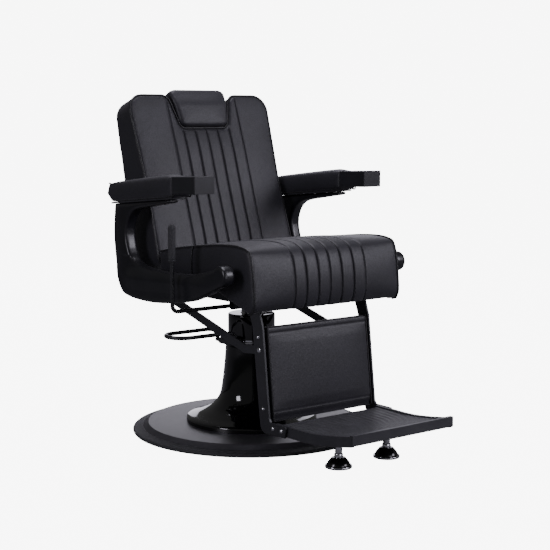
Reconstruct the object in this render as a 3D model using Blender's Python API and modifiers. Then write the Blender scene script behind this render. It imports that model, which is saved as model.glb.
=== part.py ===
"""Hydraulic barber chair, in metres, +Z up.

The origin is on the floor, on the column's axis. The sitter faces -Y and the sitter's right is -X.
Run it with blender --background --python part.py, or from Blender's text editor.
"""

import math

import bmesh
import bpy
from mathutils import Matrix, Vector

# ---- clearances shared by every piece
GAP = 0.0003  # between two pieces that touch
RUN = 0.0006  # all round a pin, shaft or rod that turns or slides in its bore

# ---- base and column
BASE_RADIUS = 0.350
BASE_DISC_RADIUS = 0.307
BASE_HEIGHT = 0.026
BASE_RIM_WIDTH = 0.030
COLUMN_FOOT_RADIUS = 0.192
COLUMN_NECK_RADIUS = 0.0755
COLUMN_TOP = 0.262
COLUMN_WALL = 0.004
PUMP_COVER_RADIUS = 0.069
PUMP_COVER_HEIGHT = 0.073
PUMP_COVER_WALL = 0.003
COVER_GAP = 0.010  # open band between the column and the pump cover
RAM_RADIUS = 0.030
CYLINDER_WALL = 0.014
CYLINDER_FLOOR = 0.010
CYLINDER_CLEARANCE = 0.0164  # under the cylinder, over the base plate
RAM_CLEARANCE = 0.010  # under the ram, over the cylinder's floor
SOCKET_WALL = 0.005  # of the tube on the base that the cylinder turns in
HUB_CLEARANCE = 0.020  # between the pump cover and the seat's hub at the lowest setting
HUB_HEIGHT = 0.034
HUB_FLANGE_RADIUS = 0.072
BEARING_HEIGHT = 0.006

# ---- pump lever
PUMP_BAR_RADIUS = 0.006
PUMP_HALF_WIDTH = 0.047
PUMP_REACH = 0.290
PUMP_RISE = 0.034  # of the loop over its shaft
PUMP_SHAFT_RADIUS = 0.005
PUMP_SHAFT_OFFSET = 0.0115  # of the shaft out of the column's neck

# ---- seat: its heights stack up from the column, and its widths follow the cushion's
BOX_HALF_WIDTH = 0.150
BOX_BOTTOM = COLUMN_TOP + COVER_GAP + PUMP_COVER_HEIGHT + HUB_CLEARANCE + HUB_HEIGHT
BOX_HEIGHT = 0.046
BOX_FRONT = -0.165
BOX_BACK = 0.050
BOARD_THICKNESS = 0.012
BOARD_BOTTOM = BOX_BOTTOM + BOX_HEIGHT
BOARD_TOP = BOARD_BOTTOM + BOARD_THICKNESS
BOARD_FRONT = -0.325
BOARD_INSET = 0.026  # of the board's sides inside the cushion's
SEAT_HALF_WIDTH = 0.258
SEAT_THICKNESS = 0.120
SEAT_TOP = BOARD_TOP + SEAT_THICKNESS
SEAT_FRONT_BOTTOM = BOX_BOTTOM + 0.002
SEAT_FRONT = -0.357
SEAT_BACK = 0.094
BOARD_HALF_WIDTH = SEAT_HALF_WIDTH - BOARD_INSET

# ---- arms
ARM_CLEARANCE = 0.026  # between the seat cushion and the arm
ARM_INNER = SEAT_HALF_WIDTH + ARM_CLEARANCE
ARM_THICKNESS = 0.038
ARM_EDGE = 0.007
ARM_NOSE_Y = -0.286
ARM_NOSE_RADIUS = 0.029
ARM_BRACKET_FRONT = -0.100
ARM_BRACKET_BACK = 0.040
ARM_BRACKET_HEIGHT = 0.014
PAD_CLEARANCE = 0.007  # of the pad outside the seat cushion's side
PAD_INNER = SEAT_HALF_WIDTH + PAD_CLEARANCE
PAD_WIDTH = 0.065
PAD_REAR = 0.263
PAD_FRONT = -0.083
CAP_LENGTH = 0.110
PAD_HEIGHT = 0.055
PAD_SLOPE = -0.09  # rise of the pad per metre towards the back, so it falls to the rear
PAD_FRONT_TOP = BOX_BOTTOM + 0.355
SUPPORT_THICKNESS = 0.005

# ---- backrest and headrest
RECLINE = math.radians(18.4)
BACK_PLANE_Y = 0.213  # of the front face at BACK_PLANE_Z
BACK_PLANE_Z = BOX_BOTTOM + 0.421
BACK_INSET = 0.010  # of the backrest's sides inside the seat cushion's
BACK_HALF_WIDTH = SEAT_HALF_WIDTH - BACK_INSET
BACK_RISE = 0.168  # of the lobes over the plane's point, along the face
BACK_DROP = 0.352  # of the lower edge under it
BACK_TOP_THICKNESS = 0.083
BACK_TAPER = 0.16  # growth of the thickness per metre towards the lower edge
NOTCH_HALF_WIDTH = 0.090
NOTCH_FLARE = 0.016
NOTCH_BOTTOM = 0.065
BACK_CORNER = 0.048  # radius of the lobes
NOTCH_TOP_CORNER = 0.030
NOTCH_LOW_CORNER = 0.020
BACK_LOW_CORNER = 0.028
BACK_EDGE = 0.006
HEADREST_RISE = 0.190
HEADREST_PROUD = 0.010
HEADREST_EDGE = 0.008
HEADREST_CLEARANCE = 0.003  # to the notch on each side
HEADREST_BAR_WIDTH = 0.030
HEADREST_BAR_THICKNESS = 0.005
HEADREST_TRAVEL = 0.080

# ---- hinges, links and footrest
BACK_HINGE_Y = 0.206
BACK_HINGE_Z = BOX_BOTTOM + 0.109
FOOT_HINGE_Y = -0.262
FOOT_HINGE_Z = BOX_BOTTOM + 0.011
SHAFT_RADIUS = 0.006
PLATE = 0.006  # steel flats
FOOTREST_HALF_WIDTH = BOARD_HALF_WIDTH - 0.041  # over the outer faces of the side bars
BAR_WIDTH = 0.044
BAR_LEAN = math.radians(6.7)
BAR_CRANK = 0.020  # of the side bars ahead of their hinge at the bend
BEND_Z = FOOT_HINGE_Z - 0.053
LINK_WIDTH = 0.024
LINK_DROP = 0.115  # of the link's pins under their hinges
LINK_SET_BACK = 0.028  # of the link's pins ahead of their hinges
LINK_BEND_Y = -0.215
LINK_BEND_DROP = 0.008
RIVET_RADIUS = 0.003
RIVET_HEAD_RADIUS = 0.0055
BOLT_HEAD_RADIUS = 0.0065
PIVOT_RADIUS = 0.004
PIVOT_HEAD_RADIUS = 0.008
EAR_MARGIN = 0.010  # of a hinge plate's round end outside its shaft
CALF_THICKNESS = 0.024
PLATE_TOP = 0.106
PLATE_HEIGHT = 0.030
PLATE_FRONT = -0.650
PLATE_REAR = -0.352
PLATE_FRONT_RISE = 0.022
RIB_PITCH = 0.0142
RIB_HEIGHT = 0.003
FOOT_X = 0.085
FOOT_Y = -0.495
FOOT_PAD_RADIUS = 0.036
FOOT_STEM_RADIUS = 0.010
FOOT_TRAVEL = 0.010

# ---- recline lever
ROD_RADIUS = 0.006
GRIP_RADIUS = 0.010
GRIP_LENGTH = 0.100
LEVER_CLEARANCE = 0.013  # between the grip and the arm
LEVER_X = ARM_INNER + ARM_THICKNESS + LEVER_CLEARANCE + GRIP_RADIUS
LEVER_Y = -0.105
LEVER_Z = BOX_BOTTOM - 0.009
LEVER_TOP = BOX_BOTTOM + 0.229

SIDES = (("right", -1), ("left", 1))

for old in list(bpy.data.objects):
    bpy.data.objects.remove(old, do_unlink=True)
CHAIR = bpy.data.collections.new("hydraulic_barber_chair")
CUTTERS = bpy.data.collections.new("cutters")
bpy.context.scene.collection.children.link(CHAIR)
bpy.context.scene.collection.children.link(CUTTERS)


# ---- materials
def finish(name, color, roughness, metallic=0.0):
    """A Principled BSDF material with one colour."""
    material = bpy.data.materials.new(name)
    material.use_nodes = True
    shader = material.node_tree.nodes["Principled BSDF"]
    shader.inputs["Base Color"].default_value = (*color, 1.0)
    shader.inputs["Roughness"].default_value = roughness
    shader.inputs["Metallic"].default_value = metallic
    return material


LEATHER = finish("black_leather", (0.022, 0.021, 0.026), 0.48)
GLOSS_BLACK = finish("gloss_black_enamel", (0.004, 0.004, 0.005), 0.08)
SATIN_BLACK = finish("satin_black_paint", (0.020, 0.019, 0.022), 0.42)
MATTE_BLACK = finish("matte_black_paint", (0.030, 0.030, 0.033), 0.55)
PLASTIC = finish("black_plastic", (0.026, 0.026, 0.028), 0.45)
RUBBER = finish("black_rubber", (0.018, 0.018, 0.019), 0.80)
CHROME = finish("chrome", (0.80, 0.80, 0.82), 0.10, 1.0)
STEEL = finish("brushed_steel", (0.55, 0.55, 0.56), 0.32, 1.0)


# ---- general makers
def place(obj, material, collection=None):
    """Gives the object its material and puts it in the chair's collection."""
    obj.data.materials.clear()
    obj.data.materials.append(material)
    for holder in list(obj.users_collection):
        holder.objects.unlink(obj)
    (collection or CHAIR).objects.link(obj)
    return obj


def mesh_object(name, bm, material, collection=None):
    bmesh.ops.recalc_face_normals(bm, faces=bm.faces)
    mesh = bpy.data.meshes.new(name)
    bm.to_mesh(mesh)
    bm.free()
    return place(bpy.data.objects.new(name, mesh), material, collection)


def turned(name, profile, material, steps=40, closed=False, sharp=30.0):
    """A solid turned about Z. The profile's (r, z) points run down the outer side, from top to bottom."""
    mesh = bpy.data.meshes.new(name)
    points = [(radius, 0.0, height) for radius, height in profile]
    edges = [(i, i + 1) for i in range(len(points) - 1)]
    if closed:
        edges.append((len(points) - 1, 0))
    mesh.from_pydata(points, edges, [])
    obj = place(bpy.data.objects.new(name, mesh), material)
    screw = obj.modifiers.new("turn", "SCREW")
    screw.steps = steps
    screw.render_steps = steps
    screw.use_merge_vertices = True
    screw.merge_threshold = 0.0001
    screw.use_smooth_shade = True
    obj = realised(obj)
    obj.data.set_sharp_from_angle(angle=math.radians(sharp))
    return obj


def realised(obj):
    """The object as a mesh of its own, with its curve or its modifiers made real and its doubles merged."""
    bpy.context.view_layer.update()
    graph = bpy.context.evaluated_depsgraph_get()
    mesh = bpy.data.meshes.new_from_object(obj.evaluated_get(graph))
    bm = bmesh.new()
    bm.from_mesh(mesh)
    bm.transform(obj.matrix_world)
    bmesh.ops.remove_doubles(bm, verts=bm.verts, dist=0.00001)
    bmesh.ops.recalc_face_normals(bm, faces=bm.faces)
    bm.to_mesh(mesh)
    bm.free()
    name = obj.name
    material = obj.data.materials[0]
    holder = obj.users_collection[0]
    bpy.data.objects.remove(obj, do_unlink=True)
    mesh.name = name
    made = bpy.data.objects.new(name, mesh)
    made.data.materials.clear()
    made.data.materials.append(material)
    holder.objects.link(made)
    return made


def box(name, low, high, material, edge=0.0, collection=None):
    """A block from its low corner to its high corner, with its edges rounded by edge."""
    bm = bmesh.new()
    bmesh.ops.create_cube(bm, size=1.0)
    size = [b - a for a, b in zip(low, high)]
    middle = [(a + b) / 2 for a, b in zip(low, high)]
    bmesh.ops.scale(bm, vec=size, verts=bm.verts)
    bmesh.ops.translate(bm, vec=middle, verts=bm.verts)
    obj = mesh_object(name, bm, material, collection)
    if edge:
        rounding = obj.modifiers.new("edge", "BEVEL")
        rounding.width = edge
        rounding.segments = 2
    return obj


def rod(name, start, end, radius, material, sides=20, collection=None):
    """A round bar between two points."""
    start = Vector(start)
    end = Vector(end)
    bm = bmesh.new()
    bmesh.ops.create_cone(
        bm, cap_ends=True, segments=sides, radius1=radius, radius2=radius, depth=(end - start).length
    )
    turn = (end - start).to_track_quat("Z", "Y").to_matrix().to_4x4()
    bmesh.ops.transform(bm, matrix=Matrix.Translation((start + end) / 2) @ turn, verts=bm.verts)
    return mesh_object(name, bm, material, collection)


def tube(name, points, radius, material, sides=2, cyclic=False):
    """A bent round bar through the points, as a curve with filled caps."""
    curve = bpy.data.curves.new(name, "CURVE")
    curve.dimensions = "3D"
    curve.bevel_depth = radius
    curve.bevel_resolution = sides
    curve.use_fill_caps = True
    spline = curve.splines.new("POLY")
    spline.points.add(len(points) - 1)
    for point, at in zip(spline.points, points):
        point.co = (*at, 1.0)
    spline.use_cyclic_u = cyclic
    return place(bpy.data.objects.new(name, curve), material)


def side_profile(name, outline, low_x, high_x, material, holes=(), edge=0.0):
    """A flat piece with its outline of (y, z) points, from low_x to high_x. Holes are (y, z, radius)."""
    curve = bpy.data.curves.new(name, "CURVE")
    curve.dimensions = "2D"
    curve.fill_mode = "BOTH"
    curve.extrude = (high_x - low_x) / 2 - edge
    curve.bevel_depth = edge
    curve.bevel_resolution = 1
    curve.offset = -edge
    add_outline(curve, outline)
    for hole_y, hole_z, radius in holes:
        add_outline(curve, circle(hole_y, hole_z, radius, 16))
    obj = place(bpy.data.objects.new(name, curve), material)
    obj.rotation_euler = (math.pi / 2, 0, math.pi / 2)
    obj.location = ((low_x + high_x) / 2, 0, 0)
    return realised(obj)


def add_outline(curve, outline):
    spline = curve.splines.new("POLY")
    spline.points.add(len(outline) - 1)
    for point, at in zip(spline.points, outline):
        point.co = (*at, 0.0, 1.0)
    spline.use_cyclic_u = True


def circle(x, y, radius, count):
    turns = [2 * math.pi * i / count for i in range(count)]
    return [(x + radius * math.cos(turn), y + radius * math.sin(turn)) for turn in turns]


def arc(x, y, radius, start, end, count):
    """Points on an arc about (x, y), from the start angle to the end angle in degrees."""
    turns = [math.radians(start + (end - start) * i / count) for i in range(count + 1)]
    return [(x + radius * math.cos(turn), y + radius * math.sin(turn)) for turn in turns]


def cut(obj, cutter, operation="DIFFERENCE", solver="EXACT"):
    change = obj.modifiers.new(operation.lower(), "BOOLEAN")
    change.operation = operation
    change.solver = solver
    change.object = cutter
    cutter.hide_render = True
    cutter.display_type = "WIRE"
    return obj


def joined(obj, *others, operation="UNION", solver="EXACT"):
    """One solid made of the object and the others, which are used up."""
    for other in others:
        cut(obj, other, operation, solver)
    made = realised(obj)
    for other in others:
        bpy.data.objects.remove(other, do_unlink=True)
    return made


def pivot(name, at):
    """An empty on a joint's axis, to which the moving pieces are parented."""
    empty = bpy.data.objects.new(name, None)
    empty.location = at
    CHAIR.objects.link(empty)
    return empty


def hang(empty, *objects):
    """Parents the objects to the empty without moving them."""
    for obj in objects:
        obj.parent = empty
        obj.matrix_parent_inverse = Matrix.Translation(empty.location).inverted()


def smooth_line(points, per_span=4):
    """Points along a smooth curve through the given ones, which it keeps."""
    ends = [points[0]] + list(points) + [points[-1]]
    line = []
    for i in range(1, len(ends) - 2):
        a, b, c, d = (Vector(p) for p in ends[i - 1 : i + 3])
        for step in range(per_span):
            t = step / per_span
            line.append(
                tuple(
                    b
                    + 0.5 * t * (c - a)
                    + t * t * (a - 2.5 * b + 2 * c - 0.5 * d)
                    + t * t * t * (1.5 * (b - c) + 0.5 * (d - a))
                )
            )
    return line + [tuple(points[-1])]


# ---- base plate: a flat cast disc with a raised middle, and a moulded ring round its edge
BASE_STEP = 0.016  # height of the disc's outer edge
RIM_INNER = BASE_RADIUS - BASE_RIM_WIDTH


def base_plate():
    profile = [
        (0.0, BASE_HEIGHT),
        (BASE_DISC_RADIUS - 0.004, BASE_HEIGHT),
        (BASE_DISC_RADIUS, BASE_HEIGHT - 0.0015),
        (RIM_INNER, BASE_STEP),
        (RIM_INNER, 0.0),
        (0.0, 0.0),
    ]
    return turned("base_plate", profile, SATIN_BLACK, steps=64)


def base_rim_ring():
    inner = RIM_INNER + GAP
    profile = [
        (inner, BASE_STEP - 0.0005),
        (BASE_RADIUS - 0.006, BASE_STEP - 0.005),
        (BASE_RADIUS - 0.001, BASE_STEP - 0.008),
        (BASE_RADIUS, BASE_STEP - 0.011),
        (BASE_RADIUS - 0.0015, 0.0),
        (inner, 0.0),
    ]
    return turned("base_rim_ring", profile, RUBBER, steps=64, closed=True)


# ---- column: a spun steel trumpet over the hydraulic cylinder
COLUMN_FOOT = BASE_HEIGHT + GAP
COLUMN_LIP = 0.012


def column_cover():
    spread = COLUMN_FOOT_RADIUS - COLUMN_NECK_RADIUS
    rise = COLUMN_TOP - COLUMN_FOOT
    flare = [(0.0, 1.0), (0.03, 0.78), (0.094, 0.49), (0.172, 0.313), (0.365, 0.194), (0.657, 0.118)]
    line = [(COLUMN_NECK_RADIUS + spread * r, COLUMN_FOOT + rise * z) for r, z in flare]
    line.append((COLUMN_FOOT_RADIUS - 0.006, COLUMN_FOOT + COLUMN_LIP + 0.005))
    lip = [(COLUMN_FOOT_RADIUS, COLUMN_FOOT + COLUMN_LIP), (COLUMN_FOOT_RADIUS, COLUMN_FOOT)]
    outside = smooth_line(line, 2) + lip
    thin = COLUMN_WALL / spread
    inside = [(r - COLUMN_WALL, z - thin * (r - COLUMN_NECK_RADIUS)) for r, z in line]
    inside.append((COLUMN_FOOT_RADIUS - COLUMN_WALL, COLUMN_FOOT))
    return turned("column_cover", outside + inside[::-1], GLOSS_BLACK, closed=True)


# ---- hydraulic pump: a cylinder that turns in the base's socket with the seat. Its collar carries
# the cover and the bracket of the pump lever
COVER_BOTTOM = COLUMN_TOP + COVER_GAP
COVER_TOP = COVER_BOTTOM + PUMP_COVER_HEIGHT
CYLINDER_BORE = RAM_RADIUS + RUN
CYLINDER_RADIUS = CYLINDER_BORE + CYLINDER_WALL
COLLAR_RADIUS = PUMP_COVER_RADIUS - PUMP_COVER_WALL - GAP
COLLAR_FLANGE = 0.0042
HUB_TOP = BOX_BOTTOM - GAP
HUB_BOTTOM = HUB_TOP - HUB_HEIGHT
RAM_TOP = HUB_TOP - 0.011
CYLINDER_BOTTOM = COLUMN_FOOT + CYLINDER_CLEARANCE
RAM_BOTTOM = CYLINDER_BOTTOM + CYLINDER_FLOOR + RAM_CLEARANCE
PUMP_SHAFT_X = -(COLUMN_NECK_RADIUS + PUMP_SHAFT_OFFSET)
PUMP_SHAFT_Z = COLUMN_TOP + 0.005
CYLINDER_TOP = COVER_TOP - PUMP_COVER_WALL - 0.010
SOCKET_TOP = COLUMN_TOP - BEARING_HEIGHT - GAP


def base_socket():
    bore = CYLINDER_RADIUS + RUN
    outer = bore + SOCKET_WALL
    profile = [
        (bore, SOCKET_TOP),
        (outer, SOCKET_TOP),
        (outer, COLUMN_FOOT + 0.008),
        (outer + 0.028, COLUMN_FOOT + 0.008),
        (outer + 0.028, COLUMN_FOOT),
        (bore, COLUMN_FOOT),
    ]
    return turned("base_socket", profile, STEEL, steps=32, closed=True)


def swivel_bearing():
    inner = CYLINDER_RADIUS + RUN
    outer = COLUMN_NECK_RADIUS - COLUMN_WALL - 0.002
    bottom = SOCKET_TOP + GAP
    profile = [(inner, COLUMN_TOP), (outer, COLUMN_TOP), (outer, bottom), (inner, bottom)]
    return turned("swivel_bearing", profile, STEEL, steps=32, closed=True)


def hydraulic_cylinder():
    floor = CYLINDER_BOTTOM + CYLINDER_FLOOR
    profile = [
        (0.0, floor),
        (CYLINDER_BORE, floor),
        (CYLINDER_BORE, CYLINDER_TOP),
        (CYLINDER_RADIUS, CYLINDER_TOP),
        (CYLINDER_RADIUS, CYLINDER_BOTTOM),
        (0.0, CYLINDER_BOTTOM),
    ]
    return turned("hydraulic_cylinder", profile, STEEL, steps=32)


def pump_collar():
    bottom = COLUMN_TOP + GAP
    inner = CYLINDER_RADIUS + GAP
    profile = [
        (inner, CYLINDER_TOP),
        (COLLAR_RADIUS, CYLINDER_TOP),
        (COLLAR_RADIUS, bottom + COLLAR_FLANGE),
        (COLUMN_NECK_RADIUS - 0.001, bottom + COLLAR_FLANGE),
        (COLUMN_NECK_RADIUS - 0.001, bottom),
        (inner, bottom),
    ]
    return turned("pump_collar", profile, CHROME, steps=40, closed=True)


def pump_cover():
    outer = PUMP_COVER_RADIUS
    hole = RAM_RADIUS + 0.002
    edge = 0.004
    inner = outer - PUMP_COVER_WALL
    ceiling = COVER_TOP - PUMP_COVER_WALL
    profile = [(hole, COVER_TOP)] + arc(outer - edge, COVER_TOP - edge, edge, 90, 0, 4)
    profile += [(outer, COVER_BOTTOM), (inner, COVER_BOTTOM), (inner, ceiling), (hole, ceiling)]
    return turned("pump_cover", profile, GLOSS_BLACK, steps=48, closed=True)


def pump_bracket():
    """A plate on the collar's flange, with a boss that the pump shaft turns in."""
    low = COLUMN_TOP + 2 * GAP + COLLAR_FLANGE
    plate = box(
        "pump_bracket",
        (PUMP_SHAFT_X, -0.030, low),
        (-COLLAR_RADIUS - GAP, 0.030, COVER_BOTTOM - GAP),
        GLOSS_BLACK,
    )
    at = (PUMP_SHAFT_X, PUMP_SHAFT_Z)
    boss = rod("pump_boss", (at[0], -0.034, at[1]), (at[0], 0.034, at[1]), 0.0095, GLOSS_BLACK, 24)
    bore = rod(
        "pump_bore",
        (at[0], -0.040, at[1]),
        (at[0], 0.040, at[1]),
        PUMP_SHAFT_RADIUS + RUN,
        GLOSS_BLACK,
        24,
        CUTTERS,
    )
    return cut(joined(plate, boss), bore)


def pump_lever():
    """A cross shaft with a loop of round bar on its two ends, trodden down by the foot."""
    z = PUMP_SHAFT_Z
    bend = [(0.0, 0.0), (-0.005, 0.018), (-0.016, 0.030), (-0.036, PUMP_RISE)]
    side = [(PUMP_SHAFT_X + dx, z + dz) for dx, dz in bend]
    straight_end = -PUMP_REACH + PUMP_HALF_WIDTH
    near = [(x, -PUMP_HALF_WIDTH, height) for x, height in side]
    turn = [
        (x, y, z + PUMP_RISE)
        for x, y in arc(straight_end, 0.0, PUMP_HALF_WIDTH, 270, 90, 12)
    ]
    far = [(x, PUMP_HALF_WIDTH, height) for x, height in reversed(side)]
    loop = realised(tube("pump_lever", near + turn + far, PUMP_BAR_RADIUS, SATIN_BLACK))
    reach = PUMP_HALF_WIDTH + PUMP_BAR_RADIUS + 0.002
    shaft = rod(
        "pump_shaft", (PUMP_SHAFT_X, -reach, z), (PUMP_SHAFT_X, reach, z), PUMP_SHAFT_RADIUS, STEEL, 16
    )
    joined(loop, shaft)


def lift_ram():
    edge = 0.002
    profile = [
        (0.0, RAM_TOP),
        (RAM_RADIUS - edge, RAM_TOP),
        (RAM_RADIUS, RAM_TOP - edge),
        (RAM_RADIUS, RAM_BOTTOM),
        (0.0, RAM_BOTTOM),
    ]
    return turned("lift_ram", profile, CHROME, steps=32)


# ---- seat: a hub, a mechanism box and a board under a moulded cushion
def seat_hub():
    profile = [
        (0.0, HUB_TOP),
        (HUB_FLANGE_RADIUS, HUB_TOP),
        (HUB_FLANGE_RADIUS, HUB_TOP - 0.007),
        (RAM_RADIUS + 0.018, HUB_TOP - 0.012),
        (RAM_RADIUS + 0.016, HUB_BOTTOM),
        (RAM_RADIUS + RUN, HUB_BOTTOM),
        (RAM_RADIUS + RUN, RAM_TOP + GAP),
        (0.0, RAM_TOP + GAP),
    ]
    return turned("seat_hub", profile, SATIN_BLACK)


def mechanism_box():
    low = (-BOX_HALF_WIDTH, BOX_FRONT, BOX_BOTTOM)
    high = (BOX_HALF_WIDTH, BOX_BACK, BOARD_BOTTOM - GAP)
    return box("mechanism_box", low, high, MATTE_BLACK, edge=0.003)


def seat_board():
    low = (-BOARD_HALF_WIDTH, BOARD_FRONT, BOARD_BOTTOM)
    high = (BOARD_HALF_WIDTH, SEAT_BACK - 0.004, BOARD_TOP)
    return box("seat_board", low, high, MATTE_BLACK)


def seat_outline():
    """The cushion's side: flat at the back, rising to the front edge and falling over it."""
    front = SEAT_FRONT
    rise = SEAT_TOP - SEAT_FRONT_BOTTOM
    over = smooth_line(
        [
            (SEAT_BACK, SEAT_TOP - 0.044),
            (SEAT_BACK - 0.075, SEAT_TOP - 0.029),
            (-0.140, SEAT_TOP - 0.008),
            (-0.254, SEAT_TOP),
            (front + 0.041, SEAT_TOP - 0.005),
            (front + 0.021, SEAT_TOP - 0.020),
            (front + 0.010, SEAT_TOP - 0.060),
            (front + 0.002, SEAT_FRONT_BOTTOM + 0.28 * rise),
            (front + 0.003, SEAT_FRONT_BOTTOM + 0.020),
            (front + 0.012, SEAT_FRONT_BOTTOM + 0.004),
        ],
        2,
    )
    under = [(front + 0.026, SEAT_FRONT_BOTTOM), (-0.204, BOARD_TOP - 0.017), (-0.155, BOARD_TOP + GAP)]
    return over + under + [(SEAT_BACK, BOARD_TOP + GAP)]


def seat_cushion():
    cushion = side_profile(
        "seat_cushion", seat_outline(), -SEAT_HALF_WIDTH, SEAT_HALF_WIDTH, LEATHER, edge=0.006
    )
    room = box(
        "seat_room",
        (-BOARD_HALF_WIDTH - GAP, BOARD_FRONT - 0.015, BOARD_TOP - 0.100),
        (BOARD_HALF_WIDTH + GAP, SEAT_BACK + 0.050, BOARD_TOP + GAP),
        LEATHER,
        collection=CUTTERS,
    )
    return cut(cushion, room)


# ---- arms: a cast C on each side of the seat, with a padded rest and a plastic end cap
def pad_top(y):
    """Height of the pad's top at y."""
    return PAD_FRONT_TOP + (y - PAD_FRONT) * PAD_SLOPE


def support_bottom(y):
    return pad_top(y) - PAD_HEIGHT - GAP - SUPPORT_THICKNESS


def arm_outline():
    """The C: a bar along the seat's side, a rounded rear upright and a top that runs under the pad."""
    low = BOX_BOTTOM
    outer = smooth_line(
        [
            (ARM_NOSE_Y, low + 0.073),
            (-0.150, low + 0.022),
            (0.000, low),
            (0.102, low - 0.003),
            (0.176, low + 0.004),
            (0.208, low + 0.021),
            (0.240, low + 0.081),
            (0.254, low + 0.161),
            (0.252, low + 0.221),
            (0.246, support_bottom(0.246) - GAP),
        ],
        3,
    )
    front = PAD_FRONT + 0.030
    top = [(front, support_bottom(front) - GAP), (front, support_bottom(front) - 0.010)]
    inner = smooth_line(
        [
            (0.090, support_bottom(0.090) - 0.018),
            (0.130, low + 0.251),
            (0.160, low + 0.226),
            (0.173, low + 0.181),
            (0.155, low + 0.125),
            (0.120, low + 0.101),
            (0.060, low + 0.091),
            (-0.060, low + 0.090),
            (-0.160, low + 0.097),
            (-0.260, low + 0.118),
        ],
        3,
    )
    nose = arc(ARM_NOSE_Y, low + 0.073 + ARM_NOSE_RADIUS, ARM_NOSE_RADIUS, 60, 270, 8)
    return outer + top + inner + nose


def arm_parts(side, sign):
    def span(near, far):
        return sorted((sign * near, sign * far))

    outer = ARM_INNER + ARM_THICKNESS
    side_profile("arm_frame_" + side, arm_outline(), *span(ARM_INNER, outer), SATIN_BLACK, edge=ARM_EDGE)
    rear = PAD_REAR
    low = [(rear - 0.028, pad_top(rear - 0.028) - PAD_HEIGHT), (PAD_FRONT, pad_top(PAD_FRONT) - PAD_HEIGHT)]
    high = [(PAD_FRONT, pad_top(PAD_FRONT)), (rear - 0.014, pad_top(rear)), (rear, pad_top(rear) - 0.030)]
    pad = low + high
    side_profile("arm_pad_" + side, pad, *span(PAD_INNER, PAD_INNER + PAD_WIDTH), LEATHER, edge=0.006)
    cap_rear = PAD_FRONT - GAP
    cap_front = cap_rear - CAP_LENGTH
    bottom = pad_top(PAD_FRONT) - PAD_HEIGHT + 0.008
    cap = [
        (cap_rear, bottom),
        (cap_front, bottom + 0.004),
        (cap_front, pad_top(PAD_FRONT) + 0.004),
        (cap_rear, pad_top(PAD_FRONT)),
    ]
    side_profile("arm_cap_" + side, cap, *span(PAD_INNER, PAD_INNER + PAD_WIDTH), PLASTIC, edge=0.002)
    front = PAD_FRONT + 0.010
    back = PAD_REAR - 0.035
    support = [(y, support_bottom(y) + rise) for y, rise in ((back, 0.0), (front, 0.0))]
    support += [(y, z + SUPPORT_THICKNESS) for y, z in reversed(support)]
    side_profile("arm_support_" + side, support, *span(PAD_INNER + 0.006, outer), MATTE_BLACK)
    low_x, high_x = span(BAR_OUTER + 0.004, ARM_INNER - GAP)
    top = BOARD_BOTTOM - GAP
    low = (low_x, ARM_BRACKET_FRONT, top - ARM_BRACKET_HEIGHT)
    box("arm_bracket_" + side, low, (high_x, ARM_BRACKET_BACK, top), MATTE_BLACK, edge=0.002)


# ---- backrest: built upright about the middle of its front face, then laid back
def laid_back(objects):
    """Turns upright pieces back by the rest angle and puts them at the face's point."""
    lean = Matrix.Rotation(-RECLINE, 4, "X")
    for obj in objects:
        obj.data.transform(Matrix.Translation((0, BACK_PLANE_Y, BACK_PLANE_Z)) @ lean)
        obj.data.update()


def back_outline():
    """The front view: rounded lobes at the top corners, with the headrest's notch between them."""
    w = BACK_HALF_WIDTH
    top = BACK_RISE
    low = -BACK_DROP
    corner = BACK_CORNER
    notch = NOTCH_HALF_WIDTH
    right = arc(w - BACK_LOW_CORNER, low + BACK_LOW_CORNER, BACK_LOW_CORNER, 270, 360, 3)
    right += [(w - 0.006, -0.120), (w, 0.020)]
    right += arc(w + 0.004 - corner, top - corner, corner, 0, 90, 6)
    right += arc(notch + NOTCH_FLARE + NOTCH_TOP_CORNER, top - NOTCH_TOP_CORNER, NOTCH_TOP_CORNER, 90, 165, 5)
    right += arc(notch - NOTCH_LOW_CORNER, NOTCH_BOTTOM + NOTCH_LOW_CORNER, NOTCH_LOW_CORNER, 350, 270, 4)
    left = [(-x, s) for x, s in reversed(right)]
    return right + left


def back_cushion():
    curve = bpy.data.curves.new("back_cushion", "CURVE")
    curve.dimensions = "2D"
    curve.fill_mode = "BOTH"
    curve.extrude = 0.5 - BACK_EDGE
    curve.bevel_depth = BACK_EDGE
    curve.bevel_resolution = 1
    curve.offset = -BACK_EDGE
    add_outline(curve, back_outline())
    cushion = place(bpy.data.objects.new("back_cushion", curve), LEATHER)
    cushion.rotation_euler = (math.pi / 2, 0, 0)
    cushion = realised(cushion)
    for vertex in cushion.data.vertices:
        if vertex.co.y > 0:
            depth = BACK_TOP_THICKNESS + BACK_TAPER * (BACK_RISE - vertex.co.z)
            vertex.co.y += depth - 0.5
        else:
            vertex.co.y += 0.5
    wide = HEADREST_BAR_WIDTH / 2 + RUN
    pocket = box(
        "headrest_pocket",
        (-wide, BAR_DEPTH - RUN, NOTCH_BOTTOM - BAR_REACH - 0.004),
        (wide, BAR_DEPTH + HEADREST_BAR_THICKNESS + RUN, NOTCH_BOTTOM + 0.050),
        LEATHER,
        collection=CUTTERS,
    )
    laid_back([cushion, pocket])
    room = box(
        "hinge_room",
        (-ROOM_HALF_WIDTH, BACK_ROOM_Y, BACK_HINGE_Z - 0.150),
        (ROOM_HALF_WIDTH, BACK_ROOM_Y + 0.300, BACK_ROOM_Z),
        LEATHER,
        collection=CUTTERS,
    )
    return cut(cut(cushion, pocket), room)


# ---- headrest: a padded saddle in the notch, on a flat bar that slides in the backrest
BAR_DEPTH = 0.040
BAR_REACH = HEADREST_TRAVEL + 0.060


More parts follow.
